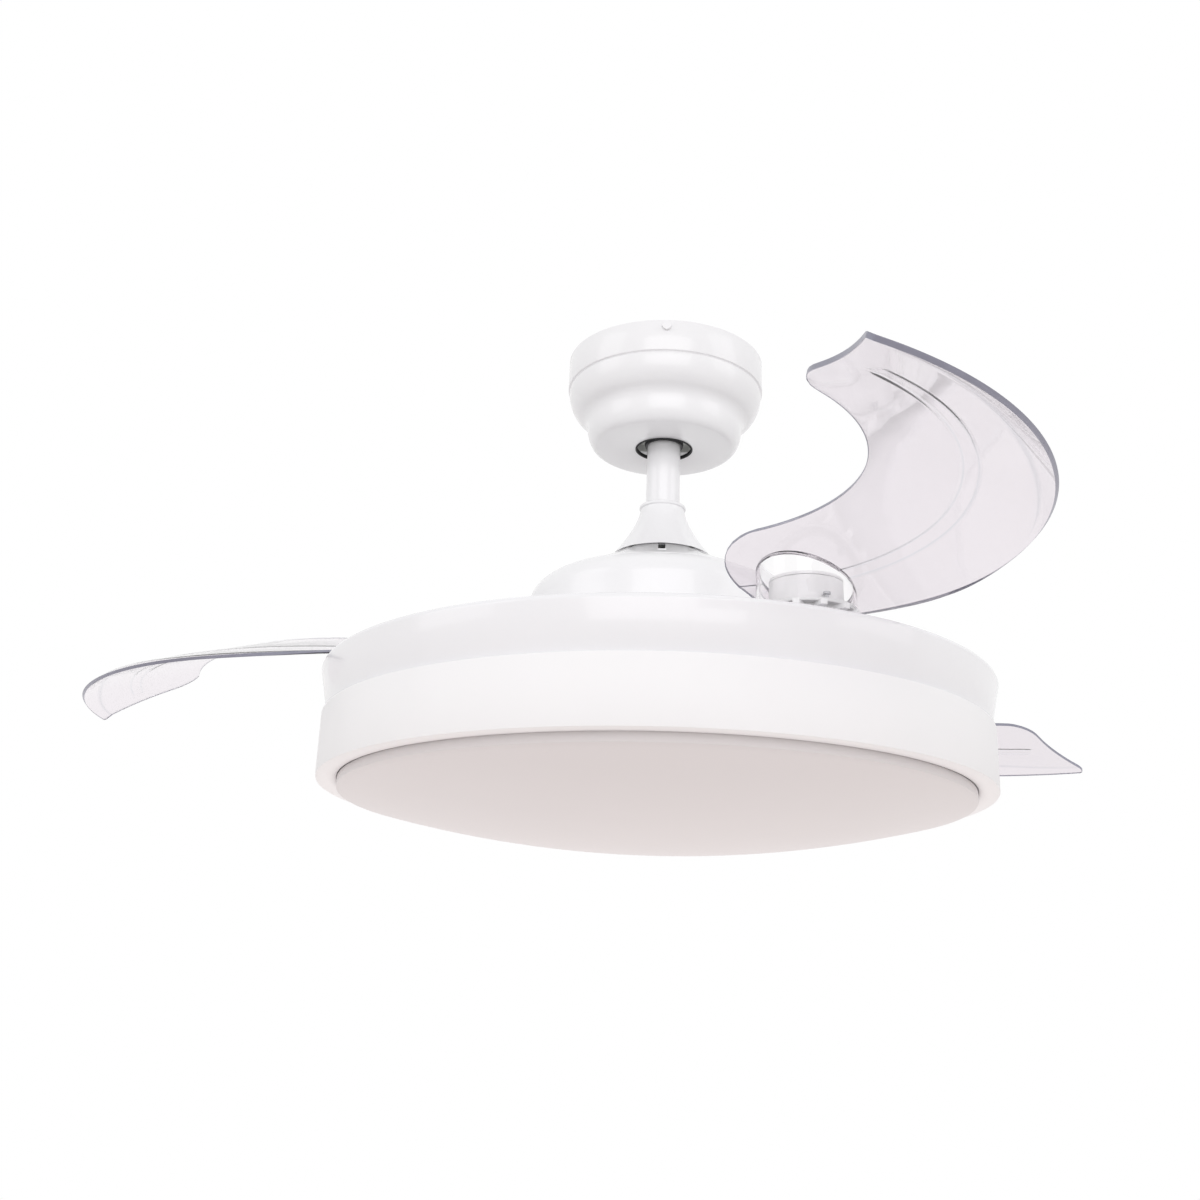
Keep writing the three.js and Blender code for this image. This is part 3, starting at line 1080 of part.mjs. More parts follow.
around(BLADE_COUNT).forEach((turn, i) => {
  const place = polar(PIVOT_RADIUS, PIVOT_ANGLE + turn);
  const onCarrier = addGroup(place, 0);
  add(`pivot_bolt_${i + 1}`, pivotBolt(), STEEL, onCarrier);
  add(`fold_spring_${i + 1}`, foldSpring(), STEEL, onCarrier);
  const swinging = addGroup(place, turn + FOLD_ANGLE);
  add(`blade_${i + 1}`, blade(), CLEAR, swinging);
  add(`pivot_hub_${i + 1}`, pivotHub(), WHITE_PLASTIC, swinging);
  add(`pivot_cap_${i + 1}`, pivotCap(), WHITE_PLASTIC, swinging);
  bladeScrewPlaces().forEach((screwPlace, j) => {
    add(`blade_screw_${i + 1}_${j + 1}`, bladeScrew(screwPlace), STEEL, swinging);
  });
});

add('upper_housing', upperHousing(), WHITE_PAINT);
add('lower_ring', lowerRing(), WHITE_MATT);
add('light_tray', lightTray(), WHITE_PLASTIC);
add('led_board', ledBoard(), WHITE_BOARD);
add('led_driver', ledDriver(), WHITE_PLASTIC);
add('diffuser', diffuser(), OPAL);

export default fan;
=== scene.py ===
"""Looks for a ceiling fan whose three clear blades fold onto a round lamp drum.

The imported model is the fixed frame. This script adds the smooth outer pieces,
dresses every piece, and sets the lamps and the camera. Units are metres, +Z is
up, the front is -Y, and the origin is in the ceiling plane on the fan's axis.
"""

import json
import logging
import math
from dataclasses import dataclass, field
from enum import Enum
from typing import Iterable, Optional, Sequence, Union

import bmesh
import bpy
from mathutils import Matrix, Vector

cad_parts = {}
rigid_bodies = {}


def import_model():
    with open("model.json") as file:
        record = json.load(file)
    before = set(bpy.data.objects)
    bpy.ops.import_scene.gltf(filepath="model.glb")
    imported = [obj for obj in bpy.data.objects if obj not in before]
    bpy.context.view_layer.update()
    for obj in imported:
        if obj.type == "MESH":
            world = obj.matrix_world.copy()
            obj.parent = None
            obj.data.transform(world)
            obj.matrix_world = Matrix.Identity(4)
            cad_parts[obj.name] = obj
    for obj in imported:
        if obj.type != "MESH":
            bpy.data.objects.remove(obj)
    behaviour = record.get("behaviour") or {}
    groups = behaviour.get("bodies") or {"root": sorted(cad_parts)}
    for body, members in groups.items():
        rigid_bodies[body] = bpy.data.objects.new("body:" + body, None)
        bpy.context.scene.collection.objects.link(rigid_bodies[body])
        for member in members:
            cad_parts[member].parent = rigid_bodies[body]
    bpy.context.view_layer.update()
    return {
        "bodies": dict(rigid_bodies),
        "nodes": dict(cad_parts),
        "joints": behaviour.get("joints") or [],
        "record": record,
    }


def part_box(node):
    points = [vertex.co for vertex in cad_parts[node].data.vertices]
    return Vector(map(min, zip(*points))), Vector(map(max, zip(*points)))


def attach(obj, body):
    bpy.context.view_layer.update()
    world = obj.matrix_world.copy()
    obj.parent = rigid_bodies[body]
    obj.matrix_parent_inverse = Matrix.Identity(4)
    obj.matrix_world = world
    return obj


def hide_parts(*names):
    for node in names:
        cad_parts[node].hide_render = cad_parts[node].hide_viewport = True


log = logging.getLogger("fan")

MM = 0.001
NEAR = 1e-6  # points closer than this are one
Point = tuple[float, float]
Colour = tuple[float, float, float]
Shape = bmesh.types.BMesh
Socket = bpy.types.NodeSocket


# ---------------------------------------------------------------------------
# shader maths
# ---------------------------------------------------------------------------


class Signal:
    """A number that a shader node gives, usable in Python arithmetic."""

    def __init__(self, tree: "NodeTree", socket: Socket) -> None:
        """Wrap an output socket of a tree."""
        self.tree = tree
        self.socket = socket

    def _math(self, operation: str, *others: "Value", swapped: bool = False) -> "Signal":
        """Add a Math node.

        Args:
            operation: The Math node's operation.
            others: The other operands.
            swapped: Whether this signal is the second operand.

        Returns:
            The node's result.
        """
        values = [self, *others]
        if swapped:
            values.reverse()
        inputs = dict(enumerate(values))
        return self.tree.signal("ShaderNodeMath", {"operation": operation}, inputs)

    def __add__(self, other: "Value") -> "Signal":
        """Sum."""
        return self._math("ADD", other)

    def __sub__(self, other: "Value") -> "Signal":
        """Difference."""
        return self._math("SUBTRACT", other)

    def __rsub__(self, other: "Value") -> "Signal":
        """Reflected difference."""
        return self._math("SUBTRACT", other, swapped=True)

    def __mul__(self, other: "Value") -> "Signal":
        """Product."""
        return self._math("MULTIPLY", other)

    __radd__ = __add__
    __rmul__ = __mul__

    def fade(self, start: float, end: float) -> "Signal":
        """Rise smoothly from 0 to 1.

        Args:
            start: The signal's value where the rise starts.
            end: The signal's value where it ends.

        Returns:
            The risen signal.
        """
        settings = {"interpolation_type": "SMOOTHSTEP"}
        inputs = {"Value": self, "From Min": start, "From Max": end, "To Min": 0.0, "To Max": 1.0}
        return self.tree.signal("ShaderNodeMapRange", settings, inputs)


Value = Union[Signal, float]
Tint = Union[Colour, Socket]


class NodeTree:
    """The nodes of one material or of the world."""

    def __init__(self, tree: bpy.types.NodeTree) -> None:
        """Start from an empty tree."""
        self.tree = tree
        self.tree.nodes.clear()

    def node(self, kind: str, settings: dict, inputs: dict) -> bpy.types.Node:
        """Add any node.

        Args:
            kind: The node's type.
            settings: Attributes of the node, set first.
            inputs: Values, signals or sockets, by socket name or number.

        Returns:
            The new node.
        """
        made = self.tree.nodes.new(kind)
        for name, value in settings.items():
            setattr(made, name, value)
        for name, value in inputs.items():
            target = made.inputs[name]
            if isinstance(value, Signal):
                self.tree.links.new(value.socket, target)
            elif isinstance(value, Socket):
                self.tree.links.new(value, target)
            else:
                target.default_value = value
        return made

    def signal(self, kind: str, settings: dict, inputs: dict, output: Union[int, str] = 0) -> Signal:
        """Add any node and wrap one of its outputs."""
        return Signal(self, self.node(kind, settings, inputs).outputs[output])

    def place(self) -> Socket:
        """Object coordinates, in metres in the fan's own frame."""
        return self.node("ShaderNodeTexCoord", {}, {}).outputs["Object"]

    def noise(self, scale: float, detail: float = 2.0, place: Optional[Socket] = None) -> Signal:
        """Noise from 0 to 1 with a number of grains in each metre."""
        inputs = {"Vector": place or self.place(), "Scale": scale, "Detail": detail}
        return self.signal("ShaderNodeTexNoise", {}, inputs, "Fac")

    def attribute(self, name: str) -> Signal:
        """A value that the mesh holds at its points."""
        return self.signal("ShaderNodeAttribute", {"attribute_name": name}, {}, "Fac")

    def blend(self, amount: Signal, low: Tint, high: Tint) -> Socket:
        """Mix two colours by a signal.

        Args:
            amount: 0 gives the first colour and 1 the second.
            low: The first colour, or a socket that gives it.
            high: The second colour, or a socket that gives it.

        Returns:
            The mixed colour's socket.
        """
        ends = [end if isinstance(end, Socket) else (*end, 1) for end in (low, high)]
        mix = self.node("ShaderNodeMix", {"data_type": "RGBA"}, {0: amount, 6: ends[0], 7: ends[1]})
        return mix.outputs[2]

    def seen(self) -> Signal:
        """Tell the rays that show a surface from those that only light it.

        Returns:
            1 on rays from the camera, in gloss or through a clear piece, and 0 on the rest.
        """
        rays = self.node("ShaderNodeLightPath", {}, {}).outputs
        straight = Signal(self, rays["Is Camera Ray"]) + Signal(self, rays["Is Transmission Ray"])
        return (straight + Signal(self, rays["Is Glossy Ray"])).fade(0.0, 1.0)

    def bump(self, height: Signal, depth: float, strength: float = 1.0) -> Socket:
        """A normal bent by a height whose full range is a depth in metres."""
        inputs = {"Height": height, "Distance": depth, "Strength": strength}
        return self.node("ShaderNodeBump", {}, inputs).outputs["Normal"]


# ---------------------------------------------------------------------------
# finishes
# ---------------------------------------------------------------------------


@dataclass(frozen=True)
class Finish:
    """What every finish has: a name, a colour and how sharply it shines."""

    name: str
    colour: Colour
    roughness: float

    def surface(self) -> tuple[bpy.types.Material, NodeTree]:
        """Start a node material.

        Returns:
            The material and its empty tree.
        """
        material = bpy.data.materials.new(self.name)
        material.use_nodes = True
        return material, NodeTree(material.node_tree)

    def shader(self, tree: NodeTree, inputs: dict) -> Socket:
        """Add the main shader."""
        return tree.node("ShaderNodeBsdfPrincipled", {}, inputs).outputs["BSDF"]

    def close(self, tree: NodeTree, shader: Socket) -> None:
        """Send a shader to the material's output."""
        tree.node("ShaderNodeOutputMaterial", {}, {"Surface": shader})

    def darker(self, share: float) -> Colour:
        """This colour with a share of its light taken away."""
        return tuple(part * (1 - share) for part in self.colour)


@dataclass(frozen=True)
class Paint(Finish):
    """Sprayed coat on metal or on a moulded shell, with a faint orange peel."""

    coat: float = 0.0
    coat_roughness: float = 0.05
    peel_scale: float = 420.0
    peel_depth: float = 0.00002
    dust: float = 0.02

    def make(self) -> bpy.types.Material:
        """Build the material.

        Returns:
            The finished material.
        """
        material, tree = self.surface()
        peel = tree.noise(self.peel_scale, 3.0)
        cloud = tree.noise(9.0, 3.0).fade(0.35, 0.75)
        inputs = {
            "Base Color": tree.blend(cloud, self.colour, self.darker(self.dust)),
            "Roughness": self.roughness + 0.05 * tree.noise(35.0, 4.0),
            "Coat Weight": self.coat,
            "Coat Roughness": self.coat_roughness,
            "Normal": tree.bump(peel, self.peel_depth),
        }
        self.close(tree, self.shader(tree, inputs))
        return material


@dataclass(frozen=True)
class Moulded(Finish):
    """Moulded plastic or rubber with a fine spark-eroded grain."""

    grain_scale: float = 1600.0
    grain_depth: float = 0.00004
    mottle: float = 0.05

    def make(self) -> bpy.types.Material:
        """Build the material.

        Returns:
            The finished material.
        """
        material, tree = self.surface()
        grain = tree.noise(self.grain_scale, 2.0)
        cloud = tree.noise(22.0, 4.0).fade(0.3, 0.8)
        inputs = {
            "Base Color": tree.blend(cloud, self.colour, self.darker(self.mottle)),
            "Roughness": self.roughness + 0.12 * tree.noise(60.0, 3.0),
            "Normal": tree.bump(grain, self.grain_depth),
        }
        self.close(tree, self.shader(tree, inputs))
        return material


class Grain(Enum):
    """How a metal surface was worked, as stretches of its noise along X, Y and Z."""

    TURNED = (30.0, 30.0, 2200.0)
    PLAIN = (500.0, 500.0, 500.0)
    STACKED = (12.0, 12.0, 2000.0)


@dataclass(frozen=True)
class Metal(Finish):
    """Bare or plated metal with fine tool marks."""

    grain: Grain = Grain.PLAIN
    mark_depth: float = 0.00003
    tarnish: float = 0.25

    def make(self) -> bpy.types.Material:
        """Build the material.

        Returns:
            The finished material.
        """
        material, tree = self.surface()
        inputs = {"Vector": tree.place(), "Scale": self.grain.value}
        stretched = tree.node("ShaderNodeMapping", {"vector_type": "POINT"}, inputs)
        marks = tree.noise(1.0, 4.0, stretched.outputs["Vector"])
        stain = tree.noise(55.0, 5.0).fade(0.4, 0.75)
        inputs = {
            "Base Color": tree.blend(stain, self.colour, self.darker(self.tarnish)),
            "Metallic": 1.0,
            "Roughness": self.roughness + 0.15 * marks,
            "Normal": tree.bump(marks, self.mark_depth),
        }
        self.close(tree, self.shader(tree, inputs))
        return material


@dataclass(frozen=True)
class WoundWire(Finish):
    """Lacquered wire in close turns."""

    wire: float = 0.0009

    def make(self) -> bpy.types.Material:
        """Build the material.

        Returns:
            The finished material.
        """
        material, tree = self.surface()
        settings = {"wave_type": "BANDS", "bands_direction": "Z"}
        turns = 1 / (self.wire * 20)
        inputs = {"Vector": tree.place(), "Scale": turns, "Distortion": 1.5, "Detail": 1.0}
        wave = tree.signal("ShaderNodeTexWave", settings, inputs, "Fac")
        shader = self.shader(tree, {
            "Base Color": tree.blend(wave.fade(0.1, 0.7), self.darker(0.6), self.colour),
            "Metallic": 0.8,
            "Roughness": self.roughness + 0.1 * tree.noise(80.0),
            "Normal": tree.bump(wave, self.wire / 2),
        })
        self.close(tree, shader)
        return material


@dataclass(frozen=True)
class LampBoard(Finish):
    """White board with small yellow light chips in rows."""

    chip: Colour = (0.80, 0.62, 0.16)
    pitch: float = 0.014

    def make(self) -> bpy.types.Material:
        """Build the material.

        Returns:
            The finished material.
        """
        material, tree = self.surface()
        settings = {"feature": "F1", "distance": "CHEBYCHEV"}
        inputs = {"Vector": tree.place(), "Scale": 1 / self.pitch, "Randomness": 0.0}
        distance = tree.signal("ShaderNodeTexVoronoi", settings, inputs, "Distance")
        chips = 1 - distance.fade(0.16, 0.2)
        shader = self.shader(tree, {
            "Base Color": tree.blend(chips, self.colour, self.chip),
            "Roughness": self.roughness - 0.2 * chips,
            "Normal": tree.bump(chips, 0.0005),
        })
        self.close(tree, shader)
        return material


@dataclass(frozen=True)
class OpalPlastic(Finish):
    """Milky diffuser sheet: light is lost in it, and its skin has a silk gloss."""

    def make(self) -> bpy.types.Material:
        """Build the material.

        Returns:
            The finished material.
        """
        material, tree = self.surface()
        cloud = tree.noise(7.0, 2.0).fade(0.3, 0.8)
        shader = self.shader(tree, {
            "Base Color": tree.blend(cloud, self.colour, self.darker(0.015)),
            "Roughness": self.roughness + 0.04 * tree.noise(45.0, 3.0),
            "Specular IOR Level": 0.25,
            "Normal": tree.bump(tree.noise(900.0), 0.00001),
        })
        self.close(tree, shader)
        return material


@dataclass(frozen=True)
class ClearAcrylic(Finish):
    """Clear moulded sheet. The mesh says where its cut edges and pressed lines are; the finish paints shade
    on the cut edges, along the rib's edges and along the fold, and paints the cup paler as painted light.
    """

    # painted shade: the cut edges are drawn as an opaque dark lavender skin, with a random paler tone in it
    edge_shade_colour: Colour = (0.27, 0.27, 0.34)
    edge_shade_paler: Colour = (0.34, 0.34, 0.42)
    edge_shade_cover: float = 0.85
    edge_roughness: float = 0.35
    # painted shade along the rib's edges
    rib_shade_colour: Colour = (0.78, 0.76, 0.80)
    # painted shade along the fold of the outer strip
    fold_shade_colour: Colour = (0.72, 0.70, 0.74)
    # painted light: the cup is painted paler than the sheet
    cup_painted_light_colour: Colour = (0.975, 0.965, 0.972)
    gloss_colour: Colour = (0.80, 0.77, 0.80)
    ior: float = 1.49

    def make(self) -> bpy.types.Material:
        """Build the material.

        Returns:
            The finished material.
        """
        material, tree = self.surface()
        edge = tree.attribute("edge").fade(0.15, 0.85)
        line = tree.attribute("line").fade(0.2, 0.9)
        bend = tree.attribute("bend")
        pale = tree.attribute("pale")
        cloud = tree.noise(14.0, 2.0).fade(0.3, 0.8)
        tint = tree.blend(cloud, self.colour, self.darker(0.02))
        # laid over the tint: painted light on the cup, painted shade along the fold and the rib's edges
        for amount, colour in ((pale, self.cup_painted_light_colour), (bend, self.fold_shade_colour), (line, self.rib_shade_colour)):
            tint = tree.blend(amount, tint, colour)
        waves = tree.noise(16.0, 1.0)
        shader = self.shader(tree, {
            "Base Color": tint,
            "Roughness": self.roughness + 0.02 * tree.noise(120.0, 3.0),
            "IOR": self.ior,
            "Specular Tint": (*self.gloss_colour, 1),
            "Transmission Weight": 1.0,
            "Normal": tree.bump(waves, 0.0004, 0.4),
        })
        # painted shade: an opaque dark skin over the cut edges and the cup's rim
        edge_shade_skin = self.shader(tree, {
            "Base Color": tree.blend(tree.noise(90.0, 2.0), self.edge_shade_colour, self.edge_shade_paler),
            "Roughness": self.edge_roughness,
        })
        mixed = tree.node("ShaderNodeMixShader", {}, {0: self.edge_shade_cover * edge, 1: shader, 2: edge_shade_skin})
        self.close(tree, mixed.outputs[0])
        return material


class Slot(Enum):
    """The record's material slots."""

    GLOSS_WHITE = "gloss_white_paint"
    GLOSS_PLASTIC = "gloss_white_plastic"
    MATT_PLASTIC = "matt_white_plastic"
    WHITE_PLASTIC = "white_plastic"
    CLEAR = "clear_acrylic"
    OPAL = "opal_acrylic"
    BLACK_RUBBER = "black_rubber"
    BLACK_PLASTIC = "black_plastic"
    STEEL = "steel"
    ZINC = "zinc_plate"
    STATOR_STEEL = "stator_steel"
    CAST_ALUMINIUM = "cast_aluminium"
    ALUMINIUM_SHEET = "aluminium_sheet"
    MAGNET = "magnet"
    COPPER = "copper_wire"
    LED_BOARD = "led_board"


class Palette:
    """One material for each slot, made once."""

    FINISHES = {
        Slot.GLOSS_WHITE: Paint(
            "gloss white paint", (0.90, 0.893, 0.905), 0.28, coat=0.6, coat_roughness=0.06,
        ),
        Slot.GLOSS_PLASTIC: Paint(
            "gloss white plastic", (0.89, 0.883, 0.90), 0.22, coat=0.5, peel_depth=0.00001,
        ),
        Slot.MATT_PLASTIC: Paint("matt white plastic", (0.935, 0.925, 0.93), 0.55, peel_depth=0.00003),
        Slot.WHITE_PLASTIC: Moulded("white plastic", (0.92, 0.915, 0.92), 0.42, mottle=0.03),
        Slot.CLEAR: ClearAcrylic("clear acrylic", (0.87, 0.825, 0.86), 0.02),
        Slot.OPAL: OpalPlastic("opal acrylic", (0.785, 0.75, 0.75), 0.42),
        Slot.BLACK_RUBBER: Moulded("black rubber", (0.018, 0.018, 0.02), 0.7, mottle=0.3),
        Slot.BLACK_PLASTIC: Moulded("black plastic", (0.03, 0.03, 0.033), 0.38, mottle=0.2),
        Slot.STEEL: Metal("steel", (0.60, 0.61, 0.63), 0.28, grain=Grain.TURNED),
        Slot.ZINC: Metal("zinc plate", (0.62, 0.63, 0.60), 0.34, tarnish=0.2),
        Slot.STATOR_STEEL: Metal("stacked stator steel", (0.24, 0.25, 0.27), 0.42, grain=Grain.STACKED),
        Slot.CAST_ALUMINIUM: Metal("cast aluminium", (0.60, 0.61, 0.62), 0.36, grain=Grain.TURNED),
        Slot.ALUMINIUM_SHEET: Metal("aluminium sheet", (0.78, 0.79, 0.80), 0.3, tarnish=0.1),
        Slot.MAGNET: Metal("magnet", (0.10, 0.10, 0.11), 0.5),
        Slot.COPPER: WoundWire("copper wire", (0.62, 0.25, 0.11), 0.3),
        Slot.LED_BOARD: LampBoard("lamp board", (0.82, 0.84, 0.82), 0.5),
    }

    def __init__(self) -> None:
        """Make every material."""
        self.materials = {slot: finish.make() for slot, finish in self.FINISHES.items()}

    def dress(self, piece: bpy.types.Object, slot: Slot) -> None:
        """Give a piece its slot's material.

        Args:
            piece: A new piece.
            slot: The record's slot that its finish comes from.
        """
        piece.data.materials.clear()
        piece.data.materials.append(self.materials[slot])

    def dress_frame(self, frame: dict) -> None:
        """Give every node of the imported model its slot's material.

        Args:
            frame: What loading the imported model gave.
        """
        slots = {part["node"]: Slot(part["material_slot"]) for part in frame["record"]["subparts"]}
        for name, node in frame["nodes"].items():
            node.data.materials.clear()
            node.data.materials.append(self.materials[slots[name]])


# ---------------------------------------------------------------------------
# modelling
# ---------------------------------------------------------------------------


class Workshop:
    """Makes finished pieces from bmesh shapes and hangs them on the frame."""

    def __init__(self, palette: Palette) -> None:
        """Keep the palette at hand."""
        self.palette = palette

    def finish(
        self,
        shape: Shape,
        name: str,
        body: str,
        slot: Slot,
        replaces: Sequence[str] = (),
        sharp: float = 32.0,
    ) -> bpy.types.Object:
        """Turn a shape into a dressed piece that rides on a body.

        Args:
            shape: The closed shape, which is used up.
            name: The piece's name.
            body: The body that it moves with.
            slot: The material slot.
            replaces: Nodes of the frame that it stands for.
            sharp: Edges that bend more than these degrees stay crisp.

        Returns:
            The piece.
        """
        for face in shape.faces:
            face.smooth = True
        for edge in shape.edges:
            edge.smooth = len(edge.link_faces) == 2 and edge.calc_face_angle(0.0) < math.radians(sharp)
        mesh = bpy.data.meshes.new(name)
        shape.to_mesh(mesh)
        shape.free()
        piece = bpy.data.objects.new(name, mesh)
        bpy.context.scene.collection.objects.link(piece)
        self.palette.dress(piece, slot)
        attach(piece, body)
        if replaces:
            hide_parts(*replaces)
        log.info("%s: %d faces on %s", name, len(mesh.polygons), body)
        return piece

    @staticmethod
    def turned(outline: Sequence[Point], steps: int = 160, soften: float = 0.0) -> Shape:
        """Spin an outline round the Z axis.

        Args:
            outline: Radius and height of each point, in metres. It closes on itself.
            steps: Facets of a full turn.
            soften: Width of the bevel on every crisp edge.

        Returns:
            A closed shape with its faces pointing out.
        """
        shape = bmesh.new()
        points = [shape.verts.new((radius, 0, height)) for radius, height in outline]
        edges = [shape.edges.new(pair) for pair in zip(points, points[1:])]
        if outline[0][0] > NEAR or outline[-1][0] > NEAR:
            edges.append(shape.edges.new((points[-1], points[0])))
        bmesh.ops.spin(
            shape, geom=points + edges, axis=(0, 0, 1), cent=(0, 0, 0), angle=math.tau, steps=steps,
            use_merge=True,
        )
        bmesh.ops.remove_doubles(shape, verts=shape.verts, dist=NEAR)
        bmesh.ops.recalc_face_normals(shape, faces=shape.faces)
        if soften:
            Workshop.soften(shape, soften)
        return shape

    @staticmethod
    def soften(shape: Shape, width: float, angle: float = 35.0) -> None:
        """Bevel every crisp edge.

        Args:
            shape: The shape to work on.
            width: How far the bevel reaches from the edge.
            angle: Edges that bend more than these degrees are crisp.
        """
        limit = math.radians(angle)
        joined = [edge for edge in shape.edges if len(edge.link_faces) == 2]
        edges = [edge for edge in joined if edge.calc_face_angle(0.0) > limit]
        bmesh.ops.bevel(
            shape, geom=edges, offset=width, offset_type="OFFSET", affect="EDGES", segments=2,
            profile=0.5, material=-1, clamp_overlap=True,
        )

    @staticmethod
    def gear(teeth: int, module: float, first: float, bottom: float, top: float) -> Shape:
        """Make a toothed disc.

        Args:
            teeth: Number of teeth.
            module: Pitch diameter over the number of teeth.
            first: Where the first tooth points, in degrees.
            bottom: Height of the lower face.
            top: Height of the upper face.

        Returns:
            The closed disc.
        """
        shape = bmesh.new()
        pitch_radius = module * teeth / 2
        made = bmesh.ops.create_circle(shape, cap_ends=True, segments=teeth * 4, radius=pitch_radius)
        # a tooth's corners: modules above the pitch circle, and share of a pitch from its middle
        sides = [(-1.1, -0.31), (0.8, -0.12), (0.8, 0.12), (-1.1, 0.31)]
        corners = sorted(made["verts"], key=lambda vert: math.atan2(vert.co.y, vert.co.x) % math.tau)
        for index, corner in enumerate(corners):
            height, share = sides[index % 4]
            angle = math.radians(first + (index // 4 + share) * 360 / teeth)
            radius = pitch_radius + height * module
            corner.co = (radius * math.cos(angle), radius * math.sin(angle), bottom)
        grown = bmesh.ops.extrude_face_region(shape, geom=shape.faces[:])
        raised = [item for item in grown["geom"] if isinstance(item, bmesh.types.BMVert)]
        bmesh.ops.translate(shape, verts=raised, vec=(0, 0, top - bottom))
        bmesh.ops.recalc_face_normals(shape, faces=shape.faces)
        return shape

    @staticmethod
    def box(low: Sequence[float], high: Sequence[float]) -> Shape:
        """Make a box between two corners.

        Args:
            low: The lowest corner.
            high: The highest corner.

        Returns:
            The box.
        """
        shape = bmesh.new()
        bmesh.ops.create_cube(shape, size=1.0)
        size = Vector(high) - Vector(low)
        bmesh.ops.scale(shape, vec=size, verts=shape.verts)
        bmesh.ops.translate(shape, vec=(Vector(high) + Vector(low)) / 2, verts=shape.verts)
        return shape

    @staticmethod
    def merge(main: Shape, *others: Shape) -> Shape:
        """Put shapes side by side in one mesh.

        Args:
            main: The shape that takes the others in.
            others: Shapes that are used up.

        Returns:
            The first shape with all of them in it.
        """
        for other in others:
            spare = bpy.data.meshes.new("spare")
            other.to_mesh(spare)
            other.free()
            main.from_mesh(spare)
            bpy.data.meshes.remove(spare)
        return main

    @staticmethod
    def carved(shape: Shape, cutters: Iterable[Shape]) -> Shape:
        """Cut closed shapes out of a closed shape.

        Args:
            shape: The shape that is cut, which is used up.
            cutters: The shapes that are taken away.

        Returns:
            What is left.
        """
        objects = []
        for part in (shape, Workshop.merge(*cutters)):
            mesh = bpy.data.meshes.new("carving")
            part.to_mesh(mesh)
            part.free()
            carving = bpy.data.objects.new("carving", mesh)
            bpy.context.scene.collection.objects.link(carving)
            objects.append(carving)
        body, tool = objects
        cut = body.modifiers.new("cut", "BOOLEAN")
        cut.operation = "DIFFERENCE"
        cut.solver = "EXACT"
        cut.object = tool
        bpy.context.view_layer.update()
        seen = body.evaluated_get(bpy.context.evaluated_depsgraph_get())
        left = bmesh.new()
        left.from_mesh(seen.to_mesh())
        seen.to_mesh_clear()
        for carving in objects:
            mesh = carving.data
            bpy.data.objects.remove(carving)
            bpy.data.meshes.remove(mesh)
        return left


def arc(centre: Point, radii: Point, start: float, end: float, steps: int) -> list[Point]:
    """Points on an ellipse's arc, from one angle in degrees to another."""
    angles = [math.radians(start + (end - start) * index / steps) for index in range(steps + 1)]
    return [(centre[0] + radii[0] * math.cos(a), centre[1] + radii[1] * math.sin(a)) for a in angles]


def bent(start: Point, corner: Point, end: Point, steps: int) -> list[Point]:
    """Points strictly between two ends, on a curve that is drawn towards a corner."""
    shares = [index / steps for index in range(1, steps)]
    return [
        tuple(a * (1 - t) ** 2 + 2 * b * t * (1 - t) + c * t ** 2 for a, b, c in zip(start, corner, end))
        for t in shares
    ]


def smooth(place: float, start: float = 0.0, length: float = 1.0) -> float:
    """Rise from 0 to 1 with level ends, from a start and over a length."""
    share = min(1.0, max(0.0, (place - start) / length))
    return share * share * (3 - 2 * share)


def levelled(share: float, start: float = 0.6) -> float:
    """Follow a share up to a start, then bend over smoothly and stay at 1."""
    past = min(max(0.0, share - start), 2 * (1 - start))
    return min(share, start) + past - past * past / (4 * (1 - start))


def turn_about(centre: Vector, degrees: float) -> Matrix:
    """A turn about an upright line through a point."""
    rotation = Matrix.Rotation(math.radians(degrees), 4, "Z")
    return Matrix.Translation(centre) @ rotation @ Matrix.Translation(-centre)


# ---------------------------------------------------------------------------
# sub-assemblies
# ---------------------------------------------------------------------------


